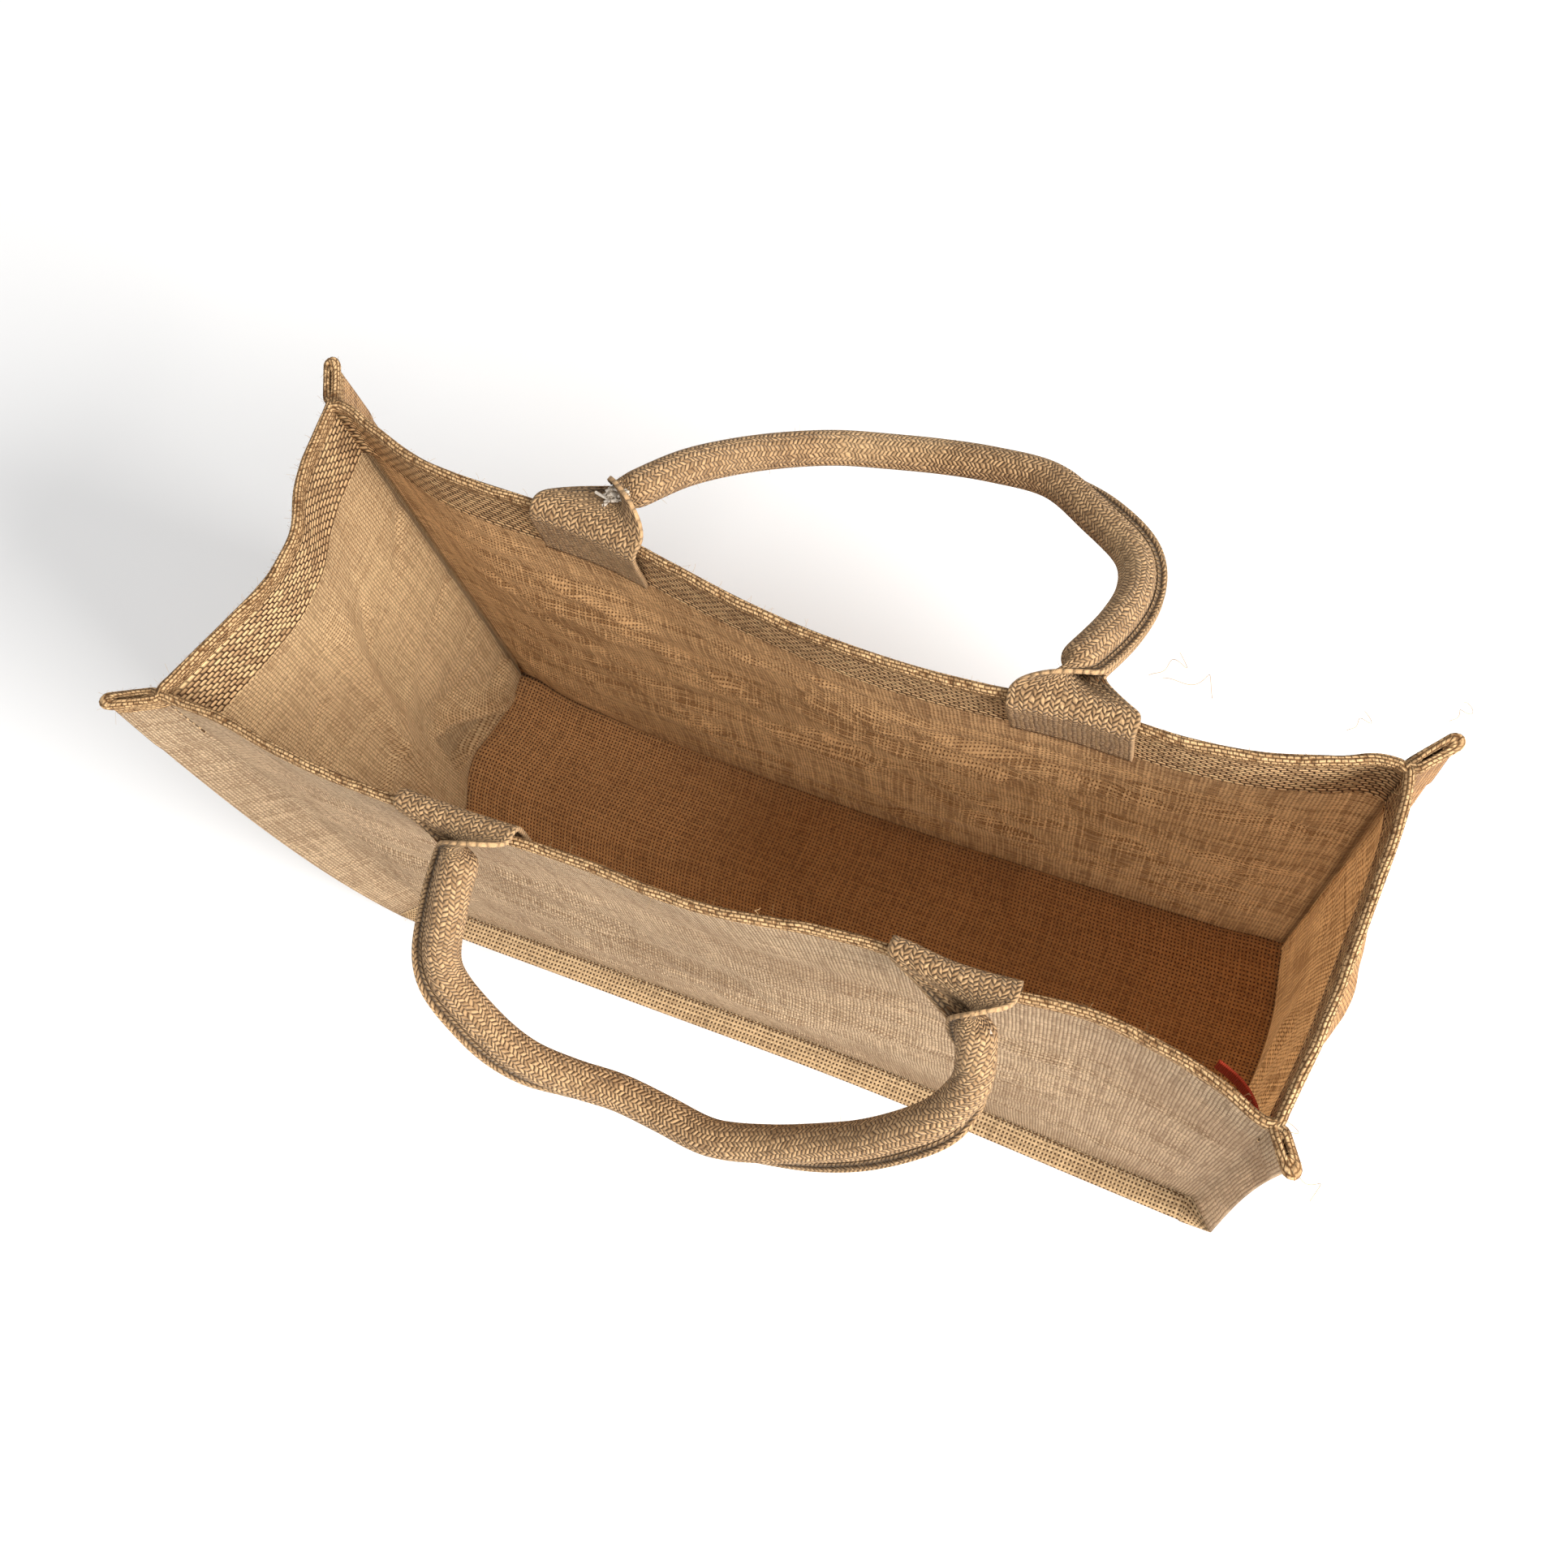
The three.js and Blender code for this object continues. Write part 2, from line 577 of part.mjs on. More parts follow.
function handleSolid(handle) {
  const wall = WALLS[handle.wall];
  const STEPS_PER_ROW = 3;
  const towardsLast = Math.sign(handle.tabs[1].at - handle.tabs[0].at);
  const stations = pathStations(handle, STEPS_PER_ROW);
  const free = stations.map(closedRow);
  const first = tabRows(wall, handle.tabs[0], -towardsLast);
  const last = tabRows(wall, handle.tabs[1], towardsLast);
  const opening = foldingRows(first[first.length - 1], stations[0], handle.tabs[0]);
  const closing = foldingRows(last[last.length - 1], stations[stations.length - 1], handle.tabs[1]);
  const rows = [...first, ...opening, ...free, ...closing.reverse(), ...last.reverse()];
  const transposed = rows[0].map((point, i) => rows.map((row) => row[i]));
  return sheetSolid(transposed, WEBBING);
}

// Rope inside the closed stretch of a handle, with its two ends showing in the mouths
function coreSolid(handle) {
  const CORE_SIDES = 8;
  const stations = pathStations(handle, 1);
  const start = stations[0];
  const end = stations[stations.length - 1];
  const middles = stations.map((station) => station.at.clone());
  middles[0].addScaledVector(start.along, -handle.tabs[0].rope);
  middles[middles.length - 1].addScaledVector(end.along, handle.tabs[1].rope);
  const route = new THREE.CatmullRomCurve3(middles, false, 'centripetal');
  const section = new THREE.Shape();
  for (let k = 0; k < CORE_SIDES; k += 1) {
    const angle = 2 * Math.PI * k / CORE_SIDES;
    const point = [CORE_RADIUS * Math.cos(angle), CORE_RADIUS * Math.sin(angle)];
    if (k === 0) section.moveTo(...point);
    else section.lineTo(...point);
  }
  return new THREE.ExtrudeGeometry(section, { steps: 30, extrudePath: route, curveSegments: 1 });
}

// Tag

function tagSolid() {
  const STEPS = 4;
  const corner = cornerAt('front_right', TAG.foot);
  const heading = THREE.MathUtils.degToRad(TAG.turn);
  const along = new THREE.Vector2(Math.cos(heading), Math.sin(heading));
  const aside = new THREE.Vector2(-along.y, along.x);
  const rows = [0, TAG.height].map((rise) => {
    const row = [];
    for (let k = 0; k <= STEPS; k += 1) {
      const t = k / STEPS;
      const point = corner.clone().add(new THREE.Vector2(...TAG.root));
      point.addScaledVector(along, TAG.length * t);
      point.addScaledVector(aside, -TAG.curve * Math.sin(Math.PI * t));
      row.push(new THREE.Vector3(point.x, point.y, TAG.foot + rise));
    }
    return row;
  });
  return sheetSolid(rows, TAG.thick);
}

// The bag

const group = new THREE.Group();

function addPiece(name, geometry) {
  const material = new THREE.MeshStandardMaterial({
    color: COLOURS[name], roughness: FABRIC_ROUGHNESS, metalness: 0,
  });
  const mesh = new THREE.Mesh(geometry, material);
  mesh.name = name;
  group.add(mesh);
}

for (const [name, wall] of Object.entries(WALLS)) addPiece(name, sheetSolid(wallGrid(wall), CLOTH));
addPiece('base_panel', baseSolid());
for (const [name, handle] of Object.entries(HANDLES)) {
  addPiece(name, handleSolid(handle));
  addPiece(name.replace('handle', 'rope_core'), coreSolid(handle));
}
addPiece('side_tag', tagSolid());

export default group;
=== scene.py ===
# Jute tote bag standing open: fine cloth, webbing, rope, stitches and loose fibres on the solids.
# Lengths in the tables are millimetres in the row frame: +X right, +Y back, +Z up.
import math

import bpy
import numpy as np
from mathutils import Matrix, Vector
from numpy.linalg import norm


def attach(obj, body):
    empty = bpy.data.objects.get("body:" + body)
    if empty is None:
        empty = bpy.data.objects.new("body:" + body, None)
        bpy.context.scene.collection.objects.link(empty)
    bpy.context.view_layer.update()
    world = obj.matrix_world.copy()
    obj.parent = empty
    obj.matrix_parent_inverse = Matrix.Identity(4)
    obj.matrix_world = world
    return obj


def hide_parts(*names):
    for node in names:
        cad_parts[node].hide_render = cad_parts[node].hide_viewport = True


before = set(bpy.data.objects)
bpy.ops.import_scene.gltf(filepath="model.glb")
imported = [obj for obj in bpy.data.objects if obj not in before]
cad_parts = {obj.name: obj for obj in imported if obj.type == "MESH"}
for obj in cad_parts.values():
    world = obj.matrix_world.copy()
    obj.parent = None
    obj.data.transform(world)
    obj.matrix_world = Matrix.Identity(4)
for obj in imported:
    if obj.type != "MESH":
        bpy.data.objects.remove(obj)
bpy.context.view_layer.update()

# Sizes

MM = 0.001
LENGTH = 455
DEPTH = 143
HALF_SPANS = np.array([LENGTH, DEPTH]) / 2
HEIGHT = 315
CLOTH = 1.2
WEBBING = 1.8
GAP = 0.3
HEM_DEPTH = 40
FLANGE = 13
WEBBING_WIDTH = 50
HANDLE_LEAF = 5
CORE_RADIUS = 4.5

HEM_INSET = CLOTH + GAP
SEAM_HALF = CLOTH / 2 + GAP / 2
HEMMED_SEAM_HALF = SEAM_HALF + HEM_INSET
FLANGE_LEVEL = CLOTH + GAP + CLOTH / 2
BASE_LEVEL = CLOTH / 2
HEM_FOOT = HEIGHT - HEM_DEPTH
TAB_GAP = 1.5 * GAP
TAB_INSET = HEM_INSET + CLOTH / 2 + TAB_GAP + WEBBING / 2
OVER_RIM = HEIGHT + TAB_GAP + WEBBING / 2

# Corner seams: lean of the inside corner at foot and rim, the tip of the sewn ear from it at
# the rim, and how much further out the ear reaches halfway up
CORNERS = {
    "front_left": dict(side=(-1, -1), foot=(8, -3), rim=(-6.5, -1.5), ear=(-18.8, -9.5), belly=7),
    "front_right": dict(side=(1, -1), foot=(0.5, 1), rim=(-0.5, -3.2), ear=(8, -11.3), belly=-3),
    "back_right": dict(side=(1, 1), foot=(1.5, 0), rim=(3.5, -4.5), ear=(11.5, 14.5), belly=3),
    "back_left": dict(side=(-1, 1), foot=(0, -1), rim=(0.5, -0.5), ear=(-7.9, 15.9), belly=5),
}

# Walls, counter-clockwise from above. rim and foot are (place along the wall, cloth outward of
# the straight line there). bulges are (at, z, out, wide, high). folds run from (at, z) to
# (at, z), and then follow their width and depth.
# ripples are small wrinkles: count, slope and its spread in degrees, half length and depth.
# toe and pocket are the folds and the outline of the tuck at a foot; the pocket's outline also gets
# painted shade.
# seams is how strongly painted shade darkens the corner seams of each wall.
WALLS = {
    "front_panel": dict(
        ends=("front_left", "front_right"), axis=0, columns=190, seams=0.15,
        ripples=(90, 3, 8, 60, 2.4),
        rim=[(-228, 0), (-206, 0), (-178, 4), (-149, 6), (-97, 4.5), (-40, 1.8), (-8, 2), (20, 0),
             (56, -6.5), (80, -9.5), (104, -8.5), (127, -10.5), (155, -14), (186, -11), (214, -4),
             (228, 0)],
        foot=[(-228, 0), (-103, -2), (50, -4), (228, 0)],
        bulges=[(20, 150, 5, 130, 70), (-150, 200, -4, 40, 60)],
        folds=[(-80, 255, 120, 240, 9, -2.2), (-190, 175, 60, 160, 10, -2.5),
               (-60, 110, 190, 120, 10, -2.5), (-228, 165, -215, 60, 12, -3),
               (-150, 262, -20, 232, 5, -0.9), (-40, 206, 150, 196, 5, 1.0),
               (10, 262, 170, 214, 4, 0.8), (-120, 140, 20, 128, 5, 0.9),
               (90, 176, 220, 150, 6, -1.1), (120, 250, 212, 190, 5, -0.9),
               (-210, 240, -150, 205, 6, -1.2), (40, 84, 190, 70, 6, 0.8)],
    ),
    "gusset_right": dict(
        ends=("front_right", "back_right"), axis=1, columns=110, seams=0.5, ripples=(44, 40, 22, 26, 0.8),
        rim=[(-71, 0), (-33, 2.5), (8, 3), (49, 3), (71, 0)],
        foot=[(-71, 0), (-9, 7), (30, 7), (71, 0)],
        bulges=[(5, 225, 12, 45, 70)],
        folds=[(-50, 60, 20, 120, 9, -4), (-55, 120, 5, 190, 9, -3.5),
               (-14, 262, 44, 186, 8, -1.0), (-64, 214, -16, 140, 7, 1.0),
               (-4, 104, 54, 36, 8, 0.8), (-66, 150, -20, 66, 8, -1.0)],
    ),
    "back_panel": dict(
        ends=("back_right", "back_left"), axis=0, columns=190, seams=0.9, ripples=(120, -8, 14, 44, 2.8),
        rim=[(229, 0), (211, -5.5), (180, -14.5), (150, -19), (109, -20.5), (75, -25), (42, -28),
             (9, -28), (-25, -25), (-55, -20.5), (-97, -14.5), (-160, -14), (-181, -12),
             (-210, -4), (-227, 0)],
        foot=[(229, 0), (195, -3), (110, -7), (0, -10), (-121, -9.5), (-190, -6), (-227, 0)],
        bulges=[(-20, 120, 5, 150, 70)],
        folds=[(-200, 190, 70, 148, 10, 3.5), (-180, 105, 90, 80, 10, 3),
               (-130, 232, -40, 205, 9, 3), (150, 225, 215, 200, 10, 3),
               (-210, 232, -110, 178, 5, 1.1), (-150, 262, -60, 236, 5, -1.0),
               (-60, 184, 60, 168, 5, -1.0), (60, 262, 190, 236, 5, 0.9),
               (20, 118, 160, 112, 6, 0.9), (120, 180, 220, 160, 6, -1.0),
               (-190, 60, -60, 44, 6, -0.8)],
    ),
    "gusset_left": dict(
        ends=("back_left", "front_left"), axis=1, columns=110, seams=0.8, ripples=(40, 75, 34, 34, 2.3),
        rim=[(71, 0), (42, -3.5), (28, -8), (12, -16), (-3, -17.5), (-14, -16.5), (-32, -11.5),
             (-50, -6), (-72, 0)],
        foot=[(71, 0), (46, 0), (30, 3.5), (15, 7.5), (1, 6), (-14, 0.5), (-34, -2.5), (-72, 0)],
        bulges=[(24, 58, 9, 30, 28)],
        folds=[(4, 270, -20, 85, 9, -7), (66, 18, 12, 70, 8, 4), (72, 2, -4, 42, 8, -4),
               (30, 262, 14, 170, 6, 1.6), (-30, 250, -44, 140, 6, 1.2),
               (40, 150, -10, 100, 6, -1.2), (-12, 122, -34, 52, 4, -2.5)],
        toe=[(70, -8, -2, 66, 3, -4.5), (-11, 162, -17, 52, 3, 4.5),
             (-19, 156, -25, 52, 3.5, -3.5)],
        pocket=[(58, 3), (5.6, 55), (-5, 20), (12, 8)],
    ),
}

# The tuck at the foot of the left gusset, an outline in the table above
POCKET_DEPTH = 8
POCKET_SLOPE = 5

# Heights over which the cloth comes free: of the flange, of the hem above it, and in the tuck
FREE_OF_FLANGE = 30
FREE_OF_HEM = 55
FREE_IN_TOE = 14
FREE_IN_POCKET = 10

# Handles: the middle of the rope at each row (x, y, z) and how far the sewn leaves are rolled
# from the top to the outer side. A tab is (at, lean, puff, rope end past the closed webbing,
# swells of the folding webbing).
HANDLES = {
    "handle_front": dict(
        wall="front_panel",
        tabs=[(-94, 0, 0.4, -1, []), (104, 0, 0.4, -1, [])],
        rows=[(-85, -90, 316, 105), (-86, -108, 303, 92), (-85, -128, 284, 88),
              (-69, -139.5, 267, 92), (-50, -146, 254, 125), (-31, -146, 244, 150),
              (-12, -144, 237, 160), (8, -145, 234, 165), (30, -146.5, 236, 165),
              (52, -141, 242, 150), (73, -133.5, 252, 125), (92.5, -125.5, 266, 112),
              (110.5, -114.5, 283, 108), (119, -105, 292, 145), (123, -94.5, 303, 195),
              (119, -80, 317, 248)],
    ),
    "handle_back": dict(
        wall="back_panel",
        tabs=[(110, 0, 0.2, -1, []),
              (-97, -5, 0.6, 4, [(12, 10, 0.4, 0.35, 4.5), (-12, 8, 0.55, 0.35, -6),
                            (-25, 6, 0.95, 0.3, -3.5)])],
        rows=[(105, 63, 316, 80), (112, 87.5, 302.5, 90), (113.5, 110, 290, 92),
              (106, 129, 280, 90), (85, 145, 270.5, 98), (62, 159, 262, 135),
              (35, 161, 256, 135), (12, 159, 253, 130), (-10, 153, 255, 125),
              (-30, 144, 262, 120), (-48, 131, 272, 118), (-63, 114.5, 286, 122),
              (-75.5, 95, 302, 125), (-86, 73.5, 315, 120)],
    ),
}

TAG = dict(length=26, height=14, thick=1.0, foot=281, root=(-4.8, 2.8), turn=143, curve=3)

random = np.random.default_rng(11)


# Curves through the tables

def mix(a, b, t):
    return a + (b - a) * t


def clamp01(t):
    return np.clip(t, 0, 1)


def ease(t):
    """0 up to 0, 1 from 1 on, smooth between."""
    t = clamp01(t)
    return t * t * (3 - 2 * t)


def bell(*offsets):
    """1 where every offset is 0, dying away as they grow past 1."""
    return np.exp(-sum(offset ** 2 for offset in offsets))


def curve_through(values, k, t):
    """A smooth curve through values, at the share t of the way from value k to the next."""
    last = len(values) - 1
    before, a, b, after = (values[np.clip(k + step, 0, last)] for step in (-1, 0, 1, 2))
    bend = (b - before) / 2 * (t ** 3 - 2 * t * t + t) + (after - a) / 2 * (t ** 3 - t * t)
    return mix(a, b, ease(t)) + bend


def read_table(rows, at):
    places, values = np.array(sorted(rows), float).T
    at = np.clip(at, places[0], places[-1])
    k = np.clip(np.searchsorted(places, at) - 1, 0, len(places) - 2)
    return curve_through(values, k, (at - places[k]) / (places[k + 1] - places[k]))


def unit(vectors):
    return vectors / np.maximum(norm(vectors, axis=-1, keepdims=True), 1e-12)


# The plan of the bag at a level

def corner_at(name, z):
    corner = CORNERS[name]
    lean = mix(np.array(corner["foot"]), np.array(corner["rim"]), clamp01(z / HEIGHT))
    return corner["side"] * HALF_SPANS + lean


def ear_at(name, z):
    corner = CORNERS[name]
    up = clamp01((z - FLANGE_LEVEL) / (HEIGHT - FLANGE_LEVEL))
    ear = mix(np.array(corner["side"]) * FLANGE, np.array(corner["ear"]), ease(up))
    return unit(ear) * (norm(ear) + corner["belly"] * 4 * up * (1 - up))


def seam_half(z):
    """Half the distance between the two cloths of a corner seam, wider where the hems are."""
    widen_from, widen_to = HEM_FOOT - 16, HEM_FOOT - 4
    return mix(SEAM_HALF, HEMMED_SEAM_HALF, ease((z - widen_from) / (widen_to - widen_from)))


def fold_depth(fold, at, z):
    """Depth of one soft fold at places on its wall; it fades towards both ends."""
    x0, z0, x1, z1, wide, out = fold
    run = math.hypot(x1 - x0, z1 - z0)
    along = ((at - x0) * (x1 - x0) + (z - z0) * (z1 - z0)) / run ** 2
    off = ((at - x0) * (z1 - z0) - (z - z0) * (x1 - x0)) / run
    fade = ease(along / 0.25) * ease((1 - along) / 0.25)
    return out * fade * bell(off / wide)


def inside_share(outline, at, z):
    """1 inside a convex outline on a wall, 0 outside it, with sloping edges."""
    share = np.ones(np.broadcast(at, z).shape)
    for (x0, z0), (x1, z1) in zip(outline, outline[1:] + outline[:1]):
        off = ((x1 - x0) * (z - z0) - (z1 - z0) * (at - x0)) / math.hypot(x1 - x0, z1 - z0)
        share = np.minimum(share, ease(off / POCKET_SLOPE))
    return share


def slack(at, z, phase):
    """Slight unevenness of hand-sewn cloth, in millimetres."""
    wave = np.sin(at / 31 + phase) * np.sin(z / 23 + 2 * phase) * 0.5
    wave += np.sin(at / 13.7 + z / 19 + 3 * phase) * 0.16
    return wave + np.sin(at / 17 - z / 41 + phase) * 0.24


def scattered_ripples(wall):
    """Small wrinkles at random places of a wall, mostly along one slope."""
    count, slope, spread, half, depth = wall["ripples"]
    own = np.random.default_rng(len(wall["rim"]) * 7 + count)
    reach = HALF_SPANS[wall["axis"]]
    made = []
    for _ in range(count):
        at, z = own.uniform(-reach, reach), own.uniform(15, HEM_FOOT - 12)
        turn = math.radians(slope + own.normal(0, spread))
        length = half * own.uniform(0.5, 1.3)
        dx, dz = math.cos(turn) * length, math.sin(turn) * length
        out = depth * own.uniform(0.35, 1.0) * own.choice((-1, 1))
        made.append((at - dx, z - dz, at + dx, z + dz, own.uniform(2.8, 6.0), out))
    return made


def bow_at(wall, at, z):
    """How far the cloth stands outward of the straight line between its corners."""
    up = clamp01(z / HEIGHT)
    out = mix(read_table(wall["foot"], at), read_table(wall["rim"], at), up ** 1.6)
    held = ease(z / FREE_OF_FLANGE) * ease((HEM_FOOT - z) / FREE_OF_HEM)
    for place, level, depth, wide, high in wall["bulges"]:
        out = out + held * depth * bell((at - place) / wide, (z - level) / high)
    for fold in wall["folds"] + wall["scattered"]:
        out = out + held * fold_depth(fold, at, z)
    for fold in wall.get("toe", []):
        out = out + ease(z / FREE_IN_TOE) * fold_depth(fold, at, z)
    if "pocket" in wall:
        depth = POCKET_DEPTH * ease(z / FREE_IN_POCKET)
        out = out + depth * inside_share(wall["pocket"], at, z)
    out = out + slack(at, z, len(wall["rim"])) * ease(z / FREE_OF_FLANGE) * 0.8
    at_end = np.abs(at) / HALF_SPANS[wall["axis"]]
    return out * (1 - ease((at_end - 0.9) / 0.1))


def wall_points(wall, share, z):
    """Middle of the cloth in plan at shares of the way along a wall, without the seams."""
    a = corner_at(wall["ends"][0], z)
    b = corner_at(wall["ends"][1], z)
    line = b - a
    outward = unit(np.array([line[1], -line[0]]))
    points = a + np.outer(share, line)
    return points + np.outer(bow_at(wall, points[:, wall["axis"]], z), outward)


for wall in WALLS.values():
    wall["scattered"] = scattered_ripples(wall)

EAR_CELLS = 10
EAR_SLIT = 0.45
ROUND_CELLS = 4
SEAM_ROUND = 2.2
SEAM_CLEAR = 1.5
TIP_CROWDING = 1.7


def plan_row(wall, z, inset=0.0):
    """One level of a wall in plan: ear, rounded corner, wall, rounded corner, ear. The ears'
    tips close towards the middle of their seam."""
    share = np.linspace(0, 1, wall["columns"] + 1)[1:-1]
    inner = wall_points(wall, share, z)
    half = seam_half(z)
    ends = []
    for name, turn, near in ((wall["ends"][0], 1, inner[0]), (wall["ends"][1], -1, inner[-1])):
        ear = ear_at(name, z)
        aside = unit(np.array([-ear[1], ear[0]])) * turn
        root = corner_at(name, z) + aside * half
        reach = norm(ear) - 1.5 * inset
        tip_round = half + 0.5
        steps = (reach - SEAM_ROUND) * (1 - np.linspace(0, 1, EAR_CELLS + 1) ** TIP_CROWDING)
        from_tip = (reach - SEAM_ROUND) - steps
        close = np.sqrt(1 - (1 - clamp01(from_tip / tip_round)) ** 2)
        shift = (half - inset * 0.5) * (close - 1)
        ear_line = root + np.outer(steps + SEAM_ROUND, unit(ear)) + np.outer(shift, aside)
        a = root + unit(ear) * SEAM_ROUND
        b = root + unit(near - root) * SEAM_ROUND
        t = np.linspace(0, 1, ROUND_CELLS + 1)[1:, None]
        arc = a * (1 - t) ** 2 + root * 2 * t * (1 - t) + b * t * t
        ends.append(np.vstack([ear_line, arc]))
    for end in ends:
        inner[norm(inner - end[-1], axis=1) <= SEAM_CLEAR] = np.nan
    row = np.vstack([ends[0], fill_missing(inner, ends), ends[1][::-1]])
    inward = np.full((len(row), 1), float(inset))
    inward[:EAR_CELLS] = inward[-EAR_CELLS:] = min(inset, half - EAR_SLIT)
    return row - plan_shifts(row) * inward


def fill_missing(inner, ends):
    """Points of a wall that fell into a rounded corner are spread just past it."""
    line = np.vstack([ends[0][-1], inner, ends[1][-1]])
    known = np.flatnonzero(~np.isnan(line[:, 0]))
    index = np.arange(1, len(line) - 1)
    return np.column_stack([np.interp(index, known, line[known, axis]) for axis in (0, 1)])


def plan_shifts(row):
    """Shift of each point of a plan line that moves the line outward by one millimetre."""
    step = unit(np.diff(row, axis=0))
    normal = np.column_stack([step[:, 1], -step[:, 0]])
    a = np.vstack([normal[:1], normal])
    b = np.vstack([normal, normal[-1:]])
    middle = a + b
    return middle * (2 / np.maximum((middle ** 2).sum(axis=1, keepdims=True), 1.2))


def at_level(row, z):
    return np.column_stack([row, np.full(len(row), z)])


# Wall cloths

def flange_row(wall):
    """The outer edge of the cloth turned outward on the floor, mitred at the corners."""
    row = plan_row(wall, FLANGE_LEVEL)
    moved = row + plan_shifts(row) * FLANGE
    root = EAR_CELLS + ROUND_CELLS // 2
    beyond = root + 4
    for way in (1, -1):
        here, edge = row[::way], moved[::way]
        along = unit(here[beyond] - here[root]) * way
        corner = here[root] + np.array([along[1], -along[0]]) * FLANGE
        edge[:root + 1] = mix(here[0], corner, np.linspace(0, 1, root + 1)[:, None])
        edge[root:beyond + 1] = mix(corner, edge[beyond], np.linspace(0, 1, 5)[:, None])
    return at_level(moved, FLANGE_LEVEL)


FLANGE_ROWS = 6
WALL_LEVELS = np.concatenate([
    [FLANGE_LEVEL + 1.4, FLANGE_LEVEL + 3], np.linspace(8, HEM_FOOT - 20, 110),
    np.linspace(HEM_FOOT - 17, HEIGHT - 8, 24),
])
# The turned rim, as (inset, level below the rim), a little fuller than the hem below it
RIM_ROWS = [(-0.25, 6.4), (-0.8, 4.8), (-1.25, 3.2), (-1.35, 2.0), (-1.0, 0.9), (-0.2, 0.15),
            (0.75, -0.1), (1.7, 0.15), (2.5, 0.9), (2.85, 2.0), (2.8, 3.2), (2.4, 4.8), (1.9, 6.4),
            (1.65, 8)]
HEM_LEVELS = np.linspace(HEIGHT - 10, HEM_FOOT, 16)


def wall_grid(wall):
    """Rows of a wall from the flange's edge up to the rim and down to the hem's lower edge."""
    outer = flange_row(wall)
    foot = at_level(plan_row(wall, FLANGE_LEVEL), FLANGE_LEVEL)
    rows = [mix(outer, foot, t) for t in np.linspace(0, 0.93, FLANGE_ROWS)]
    rows += [at_level(plan_row(wall, z), z) for z in WALL_LEVELS]
    rows += [at_level(plan_row(wall, HEIGHT, inset), HEIGHT - below) for inset, below in RIM_ROWS]
    rows += [at_level(plan_row(wall, z, HEM_INSET + hem_lift(z)), z) for z in HEM_LEVELS]
    return np.array(rows)


def hem_lift(z):
    """The hem's lower edge stands a little off the wall."""
    return 0.5 * ease((HEM_FOOT + 6 - z) / 6) + 0.15


def mean_running(grid, axis):
    """Length of the cloth up to each point of a grid along one axis, in millimetres, alike for
    all lines of the grid, so that the weave stays straight."""
    step = norm(np.diff(grid, axis=axis), axis=2).mean(axis=1 - axis)
    lengths = np.concatenate([[0], np.cumsum(step)])
    return np.broadcast_to(np.expand_dims(lengths, 1 - axis), grid.shape[:2])


def cloth_uv(grid):
    return np.dstack([mean_running(grid, 1), mean_running(grid, 0)]).reshape(-1, 2)


def run_of(line):
    """Length of a line of points up to each of them."""
    return np.concatenate([[0], np.cumsum(norm(np.diff(line, axis=0), axis=1))])


# Meshes

def quads_of(rows, columns, first=0, flip=False):
    j, i = np.meshgrid(np.arange(rows - 1), np.arange(columns - 1), indexing="ij")
    a = (first + j * columns + i).ravel()
    faces = np.column_stack([a, a + 1, a + columns + 1, a + columns])
    return faces[:, ::-1] if flip else faces


def tube_faces(count, length, sides):
    """Faces round tubes of a number of rings each, whose points follow each other."""
    line, step, side = np.meshgrid(
        np.arange(count), np.arange(length - 1), np.arange(sides), indexing="ij")
    ring = (line * length + step) * sides
    a, b = (ring + side).ravel(), (ring + (side + 1) % sides).ravel()
    return np.column_stack([a, b, b + sides, a + sides])


def add_object(name, data):
    made = bpy.data.objects.new(name, data)
    bpy.context.scene.collection.objects.link(made)
    return made


def make_mesh(name, points, faces, materials, uv=None, face_materials=None):
    """A piece from points in millimetres. uv holds the cloth's own lengths in millimetres."""
    mesh = bpy.data.meshes.new(name)
    faces = np.asarray(faces)
    sides = faces.shape[1]
    mesh.vertices.add(np.size(points) // 3)
    mesh.vertices.foreach_set("co", np.ravel(points) * MM)
    mesh.loops.add(faces.size)
    mesh.loops.foreach_set("vertex_index", faces.ravel().astype(np.int32))
    mesh.polygons.add(len(faces))
    mesh.polygons.foreach_set("loop_start", np.arange(0, faces.size, sides, dtype=np.int32))
    for material in materials:
        mesh.materials.append(material)
    if face_materials is not None:
        mesh.polygons.foreach_set("material_index", np.asarray(face_materials, np.int32))
    mesh.update(calc_edges=True)
    mesh.polygons.foreach_set("use_smooth", np.ones(len(faces), bool))
    if uv is not None:
        layer = mesh.uv_layers.new(name="cloth")
        layer.data.foreach_set("uv", (np.asarray(uv)[faces.ravel()] * MM).ravel())
    mesh.validate()
    return add_object(name, mesh)


def paint(piece, name, values):
    """A value at each point of a piece, for its material."""
    layer = piece.data.attributes.new(name, "FLOAT", "POINT")
    layer.data.foreach_set("value", np.asarray(values, np.float32).ravel())


def grid_normals(grid):
    """Shift that lies one millimetre in front of the faces round each point of a grid."""
    across = grid[:-1, 1:] - grid[:-1, :-1] + grid[1:, 1:] - grid[1:, :-1]
    up = grid[1:, :-1] - grid[:-1, :-1] + grid[1:, 1:] - grid[:-1, 1:]
    face = unit(np.cross(across, up))
    face = np.pad(face, ((1, 1), (1, 1), (0, 0)))
    return unit(face[:-1, :-1] + face[:-1, 1:] + face[1:, :-1] + face[1:, 1:])


